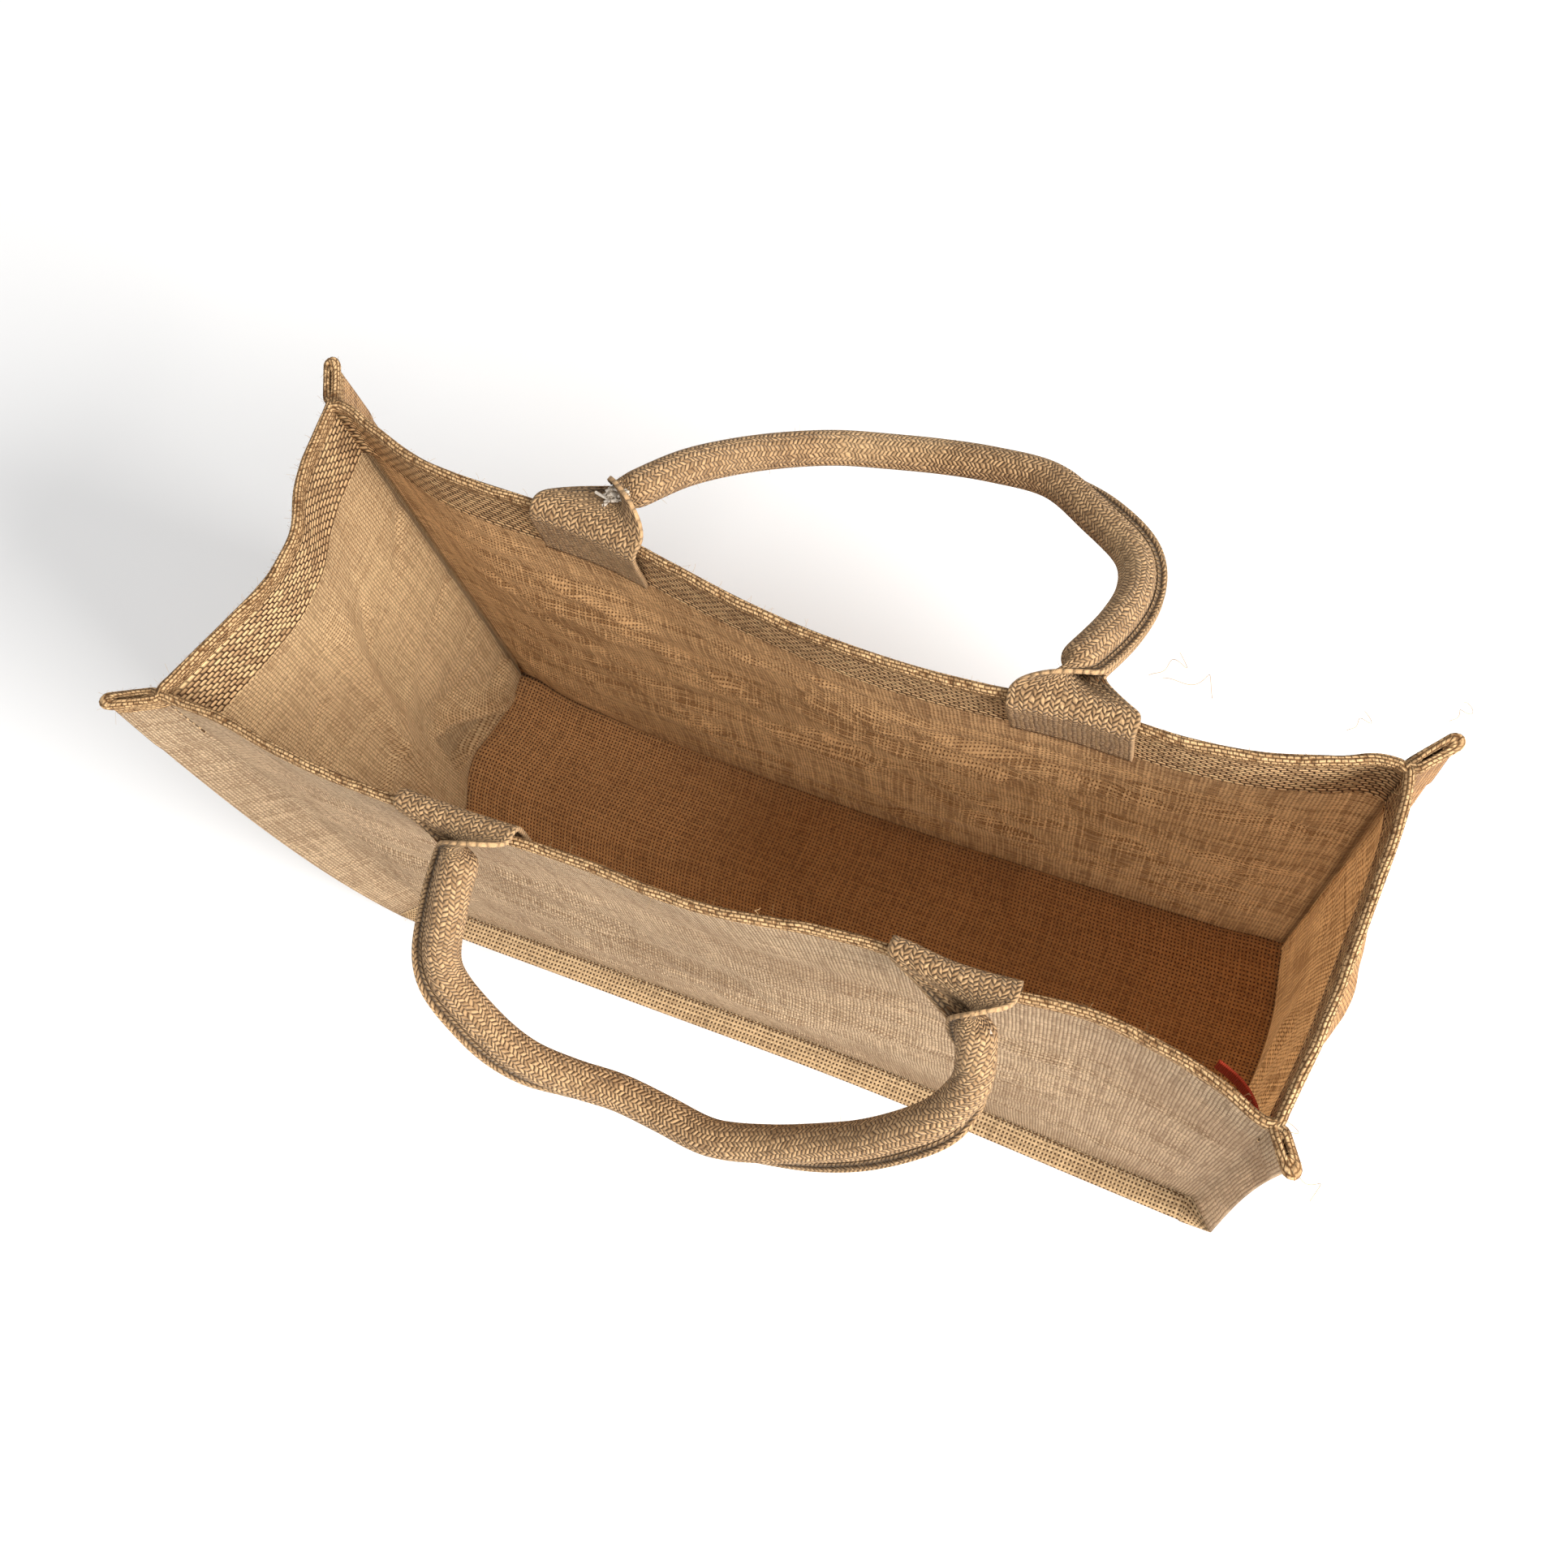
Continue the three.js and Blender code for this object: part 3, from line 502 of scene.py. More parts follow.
def solid_of(grid, thickness):
    """Closed points and faces of a grid of middle points given one thickness."""
    shift = grid_normals(grid) * thickness / 2
    rows, columns = grid.shape[:2]
    back = rows * columns
    index = np.arange(back).reshape(rows, columns)
    rim = np.concatenate([index[0, :-1], index[:-1, -1], index[-1, :0:-1], index[:0:-1, 0]])
    after = np.roll(rim, -1)
    side = np.column_stack([rim, rim + back, after + back, after])
    sheets = quads_of(rows, columns), quads_of(rows, columns, back, flip=True)
    return np.concatenate([grid + shift, grid - shift]), np.concatenate([*sheets, side])


# Materials

def node_math(operation, swapped=False):
    """A method that feeds its own value and others to a math node."""
    def method(self, *others):
        values = (*others, self) if swapped else (self, *others)
        return self.shader.math(operation, *values)
    return method


class Wire:
    """A value inside a material's nodes, reckoned with as plain numbers are."""

    def __init__(self, shader, socket):
        self.shader, self.socket = shader, socket

    __add__ = __radd__ = node_math("ADD")
    __sub__ = node_math("SUBTRACT")
    __rsub__ = node_math("SUBTRACT", swapped=True)
    __mul__ = __rmul__ = node_math("MULTIPLY")
    __truediv__ = node_math("DIVIDE")
    __mod__ = node_math("FLOORED_MODULO")
    __pow__ = node_math("POWER")
    __abs__ = node_math("ABSOLUTE")
    __gt__ = node_math("GREATER_THAN")
    larger = node_math("MAXIMUM")
    floor = node_math("FLOOR")
    fract = node_math("FRACT")


class Shader:
    """Builds one material from short node calls."""

    def __init__(self, name):
        self.material = bpy.data.materials.new(name)
        self.material.use_nodes = True
        self.tree = self.material.node_tree
        self.tree.nodes.clear()

    def node(self, kind, inputs, output=0, **settings):
        """One output of a new node. Its inputs go by number or by name."""
        made = self.tree.nodes.new("ShaderNode" + kind)
        for key, value in settings.items():
            setattr(made, key, value)
        for key, value in inputs.items():
            if isinstance(value, Wire):
                self.tree.links.new(value.socket, made.inputs[key])
            else:
                made.inputs[key].default_value = value
        return Wire(self, made.outputs[output])

    def math(self, operation, *values):
        return self.node("Math", dict(enumerate(values)), operation=operation)

    def mix(self, share, a, b):
        return self.node("Mix", {0: share, 2: a, 3: b}, data_type="FLOAT")

    def layers(self, colour, *layers):
        """A colour with others laid over it in turn, each given as (share, colour)."""
        for share, over in layers:
            colour = self.node("Mix", {0: share, 6: colour, 7: over}, 2, data_type="RGBA")
        return colour

    def ramp(self, value, low, high):
        """0 at low, 1 at high, smooth between."""
        ends = {"Value": value, "From Min": low, "From Max": high}
        return self.node("MapRange", ends, interpolation_type="SMOOTHSTEP")

    def noise(self, vector, scale, detail=2.0):
        return self.node("TexNoise", {"Vector": vector, "Scale": scale, "Detail": detail})

    def yarn_tone(self, x, y, detail=2.0):
        """Noise over a plane, for tones that go with whole yarns."""
        inputs = {"Vector": self.node("CombineXYZ", {0: x, 1: y}), "Scale": 1.0, "Detail": detail}
        return self.node("TexNoise", inputs, noise_dimensions="2D")

    def cloth_place(self):
        """The cloth's own lengths in millimetres, across and along."""
        uv = self.node("UVMap", {}, uv_map="cloth")
        return [self.node("SeparateXYZ", {0: uv}, k) / MM for k in (0, 1)]

    def painted(self, name):
        return self.node("Attribute", {}, "Fac", attribute_name=name)

    def place(self):
        return self.node("TexCoord", {}, "Object")

    def bump(self, height, distance):
        return {"Normal": self.node("Bump", {"Distance": distance * MM, "Height": height})}

    def surface(self, colour, roughness, bump, translucent=0.0, sheen=0.0):
        """Cloth: rough reflection, and some light let through."""
        result = self.node("BsdfPrincipled", {
            "Base Color": colour, "Roughness": roughness, "Specular IOR Level": SPECULAR,
            "Sheen Weight": sheen, "Sheen Tint": SHEEN_TINT, "Sheen Roughness": 0.6, **bump,
        })
        if translucent:
            through = self.node("BsdfTranslucent", {"Color": colour, **bump})
            result = self.node("MixShader", {0: translucent, 1: result, 2: through})
        end = self.tree.nodes.new("ShaderNodeOutputMaterial")
        self.tree.links.new(result.socket, end.inputs["Surface"])
        return self.material


SPECULAR = 0.12
SHEEN_TINT = (0.78, 0.64, 0.5, 1.0)


def linear(colour, strength=1.0):
    """A colour as a screen shows it, 0 to 255, made linear for the shader."""
    share = np.minimum(255, strength * np.array(colour)) / 255
    parts = np.where(share <= 0.04045, share / 12.92, ((share + 0.055) / 1.055) ** 2.4)
    return (*parts.tolist(), 1.0)


def between(dark, light, share):
    return linear(mix(np.array(dark), np.array(light), share))


def yarn_profile(fraction):
    """1 on the crown of a yarn, 0 between yarns, from its share across."""
    return 1 - abs(fraction * 2 - 1) ** 2


def yarn_places(s, pitch_across, pitch_along, waver):
    """Yarns counted across and along the cloth; they wander a little."""
    across, along = s.cloth_place()
    place = s.place()
    u = across / pitch_across + (s.noise(place, 55.0, 1.0) * waver - waver / 2)
    return u, along / pitch_along + (s.noise(place, 38.0, 1.0) * waver - waver / 2)


def plain_weave(s, u, v, open_weave):
    """Height and tone of a plain weave, and where the weft is on top. An open weave is a grid of
    flat yarns with small holes, a close one is rows of short bumps."""
    warp, weft = u.floor(), v.floor()
    over = (warp + weft) % 2
    crown_u, crown_v = yarn_profile(u.fract()), yarn_profile(v.fract())
    bumps = s.mix(over, crown_u * (crown_v * 0.3 + 0.7), crown_v * (crown_u * 0.3 + 0.7))
    net = s.ramp(crown_u.larger(crown_v), 0.35, 0.95)
    warp_tone = s.yarn_tone(warp * 5.31, v * 0.035)
    weft_tone = s.yarn_tone(u * 0.035, weft * 4.73)
    pick = s.mix(open_weave, over, crown_v > crown_u)
    return s.mix(open_weave, bumps, net), s.mix(pick, warp_tone, weft_tone), over


def float_weave(s, u, v):
    """Height and tone of a close weave that shows long floats in rows, each row half a float on,
    and the share of the dark gaps at their ends."""
    row, in_row = v.floor(), v.fract()
    u = u + (row % 2 * 0.5 + in_row * 0.12)
    crown, bow = yarn_profile(in_row), yarn_profile(u.fract())
    height = crown * (s.ramp(bow, 0.0, 0.6) * 0.7 + 0.3)
    return height, s.yarn_tone(row * 4.73, u.floor() * 0.61), s.ramp(crown * bow, 0.5, 0.1)


def jute(name, light, dark, pitch=(1.4, 1.4), relief=0.5, waver=0.7, translucent=0.25,
         roughness=0.85, sheen=0.15, slubs=0.6, stain=0.25, flecks=0.3, open_weave=0.0,
         sunk_weft=0.2, lumps=0.25, floats=False, bands=0.0):
    """Woven jute: round uneven yarns, darker gaps, paler and browner yarns, soft blotches."""
    s = Shader(name)
    u, v = yarn_places(s, *pitch, waver)
    height, tone, over = float_weave(s, u, v) if floats else plain_weave(s, u, v, open_weave)
    for k, way in enumerate(s.cloth_place()):
        tone = (s.yarn_tone(way * 0.13, 3.7 + 5 * k, 1.0) - 0.5) * bands + tone
    place = s.place()
    lump = s.noise(place, 380.0, 1.0)
    brown = between(dark, light, 0.4)
    colour = s.layers(
        linear(dark),
        (s.ramp(height, 0.12, 0.8), linear(light)),
        (over * sunk_weft, linear(dark)),
        (s.ramp(tone, 0.5, 0.66) * slubs, brown),
        (s.ramp(tone, 0.46, 0.3) * (0.6 * slubs), linear(light, 1.1)),
        (s.ramp(s.noise(place, 14.0, 3.0), 0.42, 0.72) * stain, brown),
        (s.ramp(s.noise(place, 420.0, 1.0), 0.62, 0.75) * flecks, linear(light)),
        # painted shade in the corner seams, at the flange's turn and in the tuck
        (s.painted("crease_shade") * 0.7, linear(dark, 0.55)),
        (s.ramp(lump, 0.5, 0.3) * lumps, linear(dark)),
    )
    fuzz = s.noise(place, 1500.0) * 0.3
    raised = height + (tone * 0.3 + (lump * (3 * lumps) + fuzz))
    return s.surface(colour, roughness, s.bump(raised, relief), translucent, sheen)


PLAIT_COLUMN = 3.8
PLAIT_STEP = 2.2


def webbing(name, light, dark, pale=(206, 172, 128)):
    """Thick webbing: columns of slanted plaited yarns that lean to both sides in turn."""
    s = Shader(name)
    across, along = s.cloth_place()
    place = s.place()
    drift = s.noise(place, 130.0, 1.0) * 1.5 - 0.75
    u = across / PLAIT_COLUMN + drift * 0.4
    half = (u * 2).floor()
    slant = abs(u.fract() * 2 - 1) * 0.55 + half % 2 * 0.5
    v = along / PLAIT_STEP + (drift + slant)
    height = yarn_profile(v.fract()) * (yarn_profile((u * 2).fract()) * 0.45 + 0.55)
    tone = s.yarn_tone(half * 3.7, v.floor() * 0.73)
    lump = s.noise(place, 420.0, 1.0)
    crease_shade = s.painted("crease_shade")
    colour = s.layers(
        linear(dark),
        (s.ramp(height, 0.08, 0.75), linear(light)),
        (s.ramp(tone, 0.38, 0.66) * 0.6, between(dark, light, 0.35)),
        (s.ramp(s.noise(place, 22.0, 3.0), 0.48, 0.72) * 0.35, linear(pale)),
        (s.ramp(lump, 0.5, 0.32) * 0.3, linear(dark)),
        (s.painted("selvage") * 0.6, linear(light)),
        # painted shade in the sewn grooves of the leaves, which the bump also sinks
        (crease_shade * 0.85, linear(dark, 0.5)),
    )
    fuzz = s.noise(place, 1400.0) * 0.35
    raised = height + (lump * 0.7 + fuzz) + crease_shade * -1.2
    return s.surface(colour, 0.88, s.bump(raised, 1.0), 0.0, 0.2)


def plain_fibre(name, colour, scale=300.0):
    s = Shader(name)
    share = s.ramp(s.noise(s.place(), scale), 0.35, 0.7)
    mixed = s.layers(linear(colour), (share * 0.5, linear(colour, 0.72)))
    return s.surface(mixed, 0.8, s.bump(share, 0.1), 0.15, 0.2)


def ribbon(name, dark, light, rib_pitch=0.7):
    """Plain ribbon with fine ribs across it."""
    s = Shader(name)
    rib = yarn_profile((s.cloth_place()[0] / rib_pitch).fract())
    colour = s.layers(linear(dark), (s.ramp(rib, 0.0, 0.9), linear(light)))
    return s.surface(colour, 0.6, s.bump(rib, 0.12), 0.25, 0.1)


NET = dict(open_weave=1.0, sunk_weft=0.1, flecks=0.0, relief=0.8)
SUNLIT = dict(translucent=0.3, roughness=0.6)
CLOSE = dict(floats=True, relief=0.9, translucent=0.1, sheen=0.05)
JUTE_FRONT = jute("jute_front_cloth", (228, 198, 160), (110, 78, 50), pitch=(1.5, 1.5),
                  stain=0.45, slubs=0.7, bands=0.12)
JUTE_HEM = jute("jute_hem_cloth", (244, 202, 150), (58, 32, 12), pitch=(4.0, 2.6), slubs=0.5,
                flecks=0.0, sunk_weft=0.9, lumps=0.35, waver=0.5, **CLOSE)
JUTE_RIM = jute("jute_rim_cloth", (226, 186, 136), (118, 80, 46), pitch=(2.4, 1.7), flecks=0.2,
                sunk_weft=0.5, lumps=0.8, waver=2.4, **CLOSE)
JUTE_FLANGE = jute("jute_flange_cloth", (232, 198, 152), (70, 42, 20), pitch=(2.1, 2.1),
                   translucent=0.1, slubs=0.4, **NET)
JUTE_GUSSET = jute("jute_gusset_cloth", (236, 200, 152), (118, 82, 48), pitch=(1.7, 1.6),
                   relief=0.6, slubs=0.5, open_weave=0.4, bands=0.1, **SUNLIT)
# The right gusset: a browner copy of the gusset cloth, painted shade for the wall that faces away from
# the key light; its coarser, more open weave is its own.
JUTE_RIGHT_SHADED = jute("jute_right_shaded_cloth", (216, 164, 108), (78, 44, 18), pitch=(2.0, 2.0),
                  relief=0.8, slubs=0.7, open_weave=0.6, bands=0.2, **SUNLIT)
JUTE_BACK = jute("jute_back_cloth", (222, 176, 124), (88, 52, 22), pitch=(1.7, 1.7), relief=0.6,
                 slubs=0.8, translucent=0.35, roughness=0.5, open_weave=0.7, bands=0.2)
JUTE_BASE = jute("jute_base_cloth", (220, 168, 114), (82, 48, 20), pitch=(1.9, 1.9),
                 translucent=0.0, roughness=0.7, slubs=0.3, **NET)
WEBBING_CLOTH = webbing("webbing_cloth", (200, 162, 118), (76, 48, 24))
ROPE_YARN = plain_fibre("rope_yarn", (226, 214, 198), 500.0)
FIBRE = plain_fibre("jute_fibre", (204, 166, 116))
THREAD = plain_fibre("stitch_thread", (112, 76, 44), 800.0)
RIBBON = ribbon("ribbon_red", (178, 54, 32), (236, 92, 62))


# Walls

def crease_shade_of(grid, seams):
    """Painted shade, up to 1 in the corner seams and at the turn of the flange, 0 on open cloth."""
    root = EAR_CELLS + ROUND_CELLS // 2
    turn = norm(grid - grid[FLANGE_ROWS:FLANGE_ROWS + 1], axis=2)
    crease_shade = 0.5 * bell(turn / 1.6)
    for k in (root, grid.shape[1] - 1 - root):
        away = norm(grid - grid[:, k:k + 1], axis=2)
        crease_shade = np.maximum(crease_shade, seams * bell(away / 2.6))
    return crease_shade


def build_wall(name, wall, inside):
    grid = wall_grid(wall)
    rows, columns = grid.shape[:2]
    rim_row = FLANGE_ROWS + len(WALL_LEVELS) - 2
    kind = np.zeros(rows - 1)
    kind[:FLANGE_ROWS] = 2
    kind[rim_row:] = 1
    kind[rim_row:rim_row + 1 + len(RIM_ROWS)] = 3
    piece = make_mesh(
        f"{name}_cloth", grid, quads_of(rows, columns),
        (inside, JUTE_HEM, JUTE_FLANGE, JUTE_RIM), cloth_uv(grid), np.repeat(kind, columns - 1),
    )
    # Painted shade: the cloth is darker in its corner seams, at the flange's turn and in the tuck.
    crease_shade = crease_shade_of(grid, wall["seams"])
    if "pocket" in wall:
        # Painted shade in the tuck under its ridge.
        shade = 0.35 * inside_share(wall["pocket"], grid[:, :, wall["axis"]], grid[:, :, 2])
        crease_shade = np.maximum(crease_shade, shade)
    paint(piece, "crease_shade", crease_shade)
    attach(piece, "root")
    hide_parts(name)
    return piece, grid


wall_pieces = {}
wall_grids = {}
for wall_name, cloth, slot_name in (
    ("front_panel", JUTE_FRONT, "jute_front"), ("gusset_right", JUTE_RIGHT_SHADED, "jute_gusset"),
    ("back_panel", JUTE_BACK, "jute_back"), ("gusset_left", JUTE_GUSSET, "jute_gusset"),
):
    wall_pieces[wall_name], wall_grids[wall_name] = build_wall(wall_name, WALLS[wall_name], cloth)


# Base

def build_base():
    """One flat cloth spanned between the four flange edges."""
    bottom = wall_grids["front_panel"][0]
    right = wall_grids["gusset_right"][0]
    top = wall_grids["back_panel"][0][::-1]
    left = wall_grids["gusset_left"][0][::-1]
    s = np.linspace(0, 1, len(bottom))[None, :, None]
    t = np.linspace(0, 1, len(right))[:, None, None]
    corners = [(bottom[0] + left[0]) / 2, (bottom[-1] + right[0]) / 2,
               (top[0] + left[-1]) / 2, (top[-1] + right[-1]) / 2]
    ruled = mix(bottom[None], top[None], t) + mix(left[:, None], right[:, None], s)
    blend = mix(mix(corners[0], corners[1], s), mix(corners[2], corners[3], s), t)
    grid = ruled - blend
    edge = np.minimum(np.minimum(s, 1 - s) * 8, np.minimum(t, 1 - t) * 4)[:, :, 0]
    uneven = 0.35 * (np.sin(grid[:, :, 0] / 37) * np.sin(grid[:, :, 1] / 21) + 1)
    grid[:, :, 2] = BASE_LEVEL + clamp01(edge) * uneven
    faces = quads_of(*grid.shape[:2])
    piece = make_mesh("base_cloth", grid, faces, (JUTE_BASE,), cloth_uv(grid))
    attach(piece, "root")
    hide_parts("base_panel")
    return piece


base_piece = build_base()


# Handles

ARC_HALF = WEBBING_WIDTH / 2 - HANDLE_LEAF
CLOSED_ANGLE = math.pi - 0.18
RING_RADIUS = ARC_HALF / CLOSED_ANGLE
ARC_STEPS = 16
LEAF_STEPS = 4
STEPS_PER_ROW = 12

HALF_ACROSS = np.concatenate([
    np.linspace(0, ARC_HALF, ARC_STEPS + 1)[1:],
    ARC_HALF + np.linspace(0, HANDLE_LEAF, LEAF_STEPS + 1)[1:],
])
ACROSS = np.concatenate([-HALF_ACROSS[::-1], [0], HALF_ACROSS])


def beside_wall(wall, at, inset, level):
    """Points over a wall at places along it, moved inward, at a level."""
    z = min(level, HEIGHT)
    axis = wall["axis"]
    a = corner_at(wall["ends"][0], z)[axis]
    b = corner_at(wall["ends"][1], z)[axis]
    share = (at - a) / (b - a)
    step = 0.01
    points = wall_points(wall, share, z)
    line = unit(wall_points(wall, share + step, z) - wall_points(wall, share - step, z))
    moved = points + np.column_stack([-line[:, 1], line[:, 0]]) * inset
    return at_level(moved, level)


TAB_TURN = 5.5
TAB_STAND = 2.4
TAB_CROWN = OVER_RIM + 1.2


def tab_rows(wall, tab, direction):
    """Flat tab on the hem, from its lower edge up and over the rim in a soft turn."""
    at, lean = tab[:2]
    share = np.linspace(0, 1, 14)
    rise = mix(HEM_FOOT + GAP, TAB_CROWN - TAB_TURN, share)
    stops = [(TAB_INSET + TAB_STAND * ease(t), level) for t, level in zip(share, rise)]
    for angle in np.linspace(0, math.pi / 2, 7)[1:]:
        inset = TAB_INSET + TAB_STAND - TAB_TURN * (1 - math.cos(angle))
        stops.append((inset, TAB_CROWN - TAB_TURN * (1 - math.sin(angle))))
    stops += [(inset, TAB_CROWN) for inset in (-0.8, -2.2)]
    rows = []
    for inset, level in stops:
        aside = at + lean * clamp01((HEIGHT - level) / HEM_DEPTH)
        rows.append(beside_wall(wall, aside + direction * ACROSS, inset, level))
    return rows


def path_stations(rows):
    """Points along one smooth curve through the rows, each with the ring's own directions."""
    table = np.array(rows, float)
    k, step = np.divmod(np.arange((len(table) - 1) * STEPS_PER_ROW), STEPS_PER_ROW)
    points = curve_through(table, k, step[:, None] / STEPS_PER_ROW)
    points = np.vstack([points, table[-1]])
    middle = points[:, :3]
    along = unit(np.gradient(middle, axis=0))
    outer = unit(np.cross(along, (0, 0, 1)))
    top = unit(np.cross(outer, along))
    roll = np.radians(points[:, 3])[:, None]
    leaves = top * np.cos(roll) + outer * np.sin(roll)
    return middle, along, leaves, unit(np.cross(along, leaves))


def curled_row(middle, aside, leaves, curl):
    """Webbing curled about its middle line: 0 is flat, 1 is closed with its selvages together."""
    full = curl * CLOSED_ANGLE
    radius = ARC_HALF / full
    leaf_angle = full - curl * curl * (CLOSED_ANGLE - math.pi / 2)
    angle = np.minimum(np.abs(ACROSS), ARC_HALF) / radius
    leaf = np.maximum(np.abs(ACROSS) - ARC_HALF, 0)
    wide = radius * np.sin(angle) + leaf * math.cos(leaf_angle)
    high = radius * (1 - np.cos(angle)) + leaf * math.sin(leaf_angle)
    return middle + np.outer(high, leaves) + np.outer(np.sign(ACROSS) * wide, aside)


def turned_between(flat, closed, share):
    """The two directions of a row, turned part of the way from flat to closed."""
    def basis(aside, leaves):
        return Matrix((aside, leaves, np.cross(aside, leaves))).transposed().to_quaternion()
    turn = basis(*flat).slerp(basis(*closed), share)
    return np.array(turn @ Vector((1, 0, 0))), np.array(turn @ Vector((0, 1, 0)))


def folding_rows(rim_row, notch, puff, swells):
    """Rows between the rim and the notch, where the webbing folds together like an envelope.
    Swells are (across, wide, share of the way, its spread, rise)."""
    at, _, leaves, aside = notch
    ring = at - leaves * RING_RADIUS
    flat_aside = unit((rim_row[-1] - rim_row[0]) * (1, 1, 0))
    middle = rim_row[len(rim_row) // 2]
    straight = curled_row(ring, aside, leaves, 1)
    rows = []
    steps = 18
    for k in range(1, steps):
        t = k / steps
        now_aside, now_leaves = turned_between((flat_aside, np.array((0.0, 0, 1))), (aside, leaves), t)
        curled = curled_row(mix(middle, ring, t), now_aside, now_leaves, t)
        row = mix(mix(rim_row, straight, t), curled, puff)
        for across, wide, place, spread, rise in swells:
            row[:, 2] += rise * bell((ACROSS - across) / wide, (t - place) / spread)
        rows.append(row)
    return rows


def relaxed(grid, held, rounds):
    """A grid whose rows are eased into each other, except the held ones."""
    for _ in range(rounds):
        eased = grid.copy()
        eased[1:-1] = (grid[:-2] + 2 * grid[1:-1] + grid[2:]) / 4
        eased[held] = grid[held]
        grid = eased
    return grid


def handle_grid(handle):
    wall = WALLS[handle["wall"]]
    first_tab, last_tab = handle["tabs"]
    towards_last = math.copysign(1, last_tab[0] - first_tab[0])
    stations = list(zip(*path_stations(handle["rows"])))
    free = [
        curled_row(middle - leaves * RING_RADIUS, aside, leaves, 1)
        for middle, _, leaves, aside in stations
    ]
    first = tab_rows(wall, first_tab, -towards_last)
    last = tab_rows(wall, last_tab, towards_last)
    opening = folding_rows(first[-1], stations[0], first_tab[2], first_tab[4])
    closing = folding_rows(last[-1], stations[-1], last_tab[2], last_tab[4])
    rows = np.array(first + opening + free + closing[::-1] + last[::-1])
    held = np.zeros(len(rows), bool)
    held[:len(first) - 2] = True
    held[-len(last) + 2:] = True
    return relaxed(rows, held, 5)


# From the middle of the webbing: the sewn line on each leaf, the selvage. FLAT_ROWS have no line.
LEAF_SEAM = 22.4
SELVAGE = 24.9
FLAT_ROWS = 24


def build_handle(name, handle):
    rows = handle_grid(handle)
    grid = rows.transpose(1, 0, 2)
    points, faces = solid_of(grid, WEBBING)
    uv = np.dstack([np.broadcast_to(ACROSS[:, None] + 30, grid.shape[:2]), mean_running(grid, 1)])
    uv = np.tile(uv.reshape(-1, 2), (2, 1))
    piece = make_mesh(f"{name}_webbing", points, faces, (WEBBING_CLOTH,), uv)
    off_middle = np.abs(ACROSS)[:, None]
    # The sewn lines and the fold into each leaf: a groove in the bump and painted shade in the colour.
    lines = np.maximum(bell((off_middle - LEAF_SEAM) / 0.7), bell((off_middle - ARC_HALF) / 0.8))
    reach = clamp01((np.arange(len(rows)) - FLAT_ROWS) / 8)
    crease_shade = lines * np.minimum(reach, reach[::-1])
    selvage = np.broadcast_to(off_middle > SELVAGE, crease_shade.shape)
    for label, values in (("crease_shade", crease_shade), ("selvage", selvage)):
        paint(piece, label, np.concatenate([values.ravel(), values.ravel()]))
    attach(piece, "root")
    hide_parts(name)
    return piece, rows


ROPE_STRANDS = 3
ROPE_LAY = 24
ROPE_SIDES = 10


def build_rope(name, handle):
    """Twisted rope along a handle's middle, its ends at the mouths of the webbing."""
    middle, along, leaves, aside = path_stations(handle["rows"])
    first, last = (tab[3] for tab in handle["tabs"])
    middle = np.vstack([middle[0] - along[0] * first, middle[1:-1], middle[-1] + along[-1] * last])
    radius = CORE_RADIUS / 2
    turn = 2 * math.pi * run_of(middle)[:, None] / ROPE_LAY
    angle = np.linspace(0, 2 * math.pi, ROPE_SIDES, endpoint=False)[:, None]
    ring = np.cos(angle) * leaves[:, None] + np.sin(angle) * aside[:, None]
    strands = []
    for phase in np.arange(ROPE_STRANDS) * 2 * math.pi / ROPE_STRANDS:
        centre = middle + (leaves * np.cos(turn + phase) + aside * np.sin(turn + phase)) * radius
        strands.append(centre[:, None] + ring * radius)
    faces = tube_faces(ROPE_STRANDS, len(middle), ROPE_SIDES)
    piece = make_mesh(name, strands, faces, (ROPE_YARN,))
    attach(piece, "root")
    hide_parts(name.replace("_twisted", ""))


handle_pieces = {}
handle_rows = {}
for handle_name, handle in HANDLES.items():
    handle_pieces[handle_name], handle_rows[handle_name] = build_handle(handle_name, handle)
    build_rope(handle_name.replace("handle", "rope_core") + "_twisted", handle)


# Ribbon tag

def build_tag():
    heading = math.radians(TAG["turn"])
    along = np.array([math.cos(heading), math.sin(heading)])
    aside = np.array([-along[1], along[0]])
    t = np.linspace(0, 1, 25)
    line = corner_at("front_right", TAG["foot"]) + TAG["root"] + np.outer(t * TAG["length"], along)
    line -= np.outer(TAG["curve"] * np.sin(math.pi * t), aside)
    levels = TAG["foot"] + TAG["height"] * np.linspace(0, 1, 9)
    grid = np.array([at_level(line, level) for level in levels])
    points, faces = solid_of(grid, TAG["thick"])
    piece = make_mesh("side_ribbon", points, faces, (RIBBON,), np.tile(cloth_uv(grid), (2, 1)))
    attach(piece, "root")
    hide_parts("side_tag")
    return piece


tag_piece = build_tag()


# Stitches and loose fibres

def add_threads(name, lines, radius, sides, material):
    """One piece of thin tubes along many lines of the same number of points."""
    lines = np.asarray(lines)
    along = unit(np.gradient(lines, axis=1))
    aside = unit(np.cross(along, (0.31, 0.17, 0.94)))
    across = np.cross(along, aside)
    angle = np.linspace(0, 2 * math.pi, sides, endpoint=False)[:, None]
    ring = aside[:, :, None] * np.cos(angle) + across[:, :, None] * np.sin(angle)
    points = lines[:, :, None] + ring * np.reshape(radius, (-1, 1, 1, 1))
    faces = tube_faces(*lines.shape[:2], sides)
    piece = make_mesh(name, points, faces, (material,))
    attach(piece, "root")


STITCH_RISE = 0.3 * np.array([-0.6, 0.5, 1, 0.5, -0.6])[:, None]


def along_line(line, normals, pitch, share):
    """Short stitches along a line of points: each dips into the cloth at both ends."""
    run = run_of(line)
    stitches = []
    for start in np.arange(pitch / 2, run[-1] - pitch, pitch):
        places = np.linspace(start, start + pitch * share, 5)
        middle, normal = (
            np.column_stack([np.interp(places, run, values[:, k]) for k in range(3)])
            for values in (line, normals)
        )
        stitches.append(middle + unit(normal) * STITCH_RISE)
    return stitches


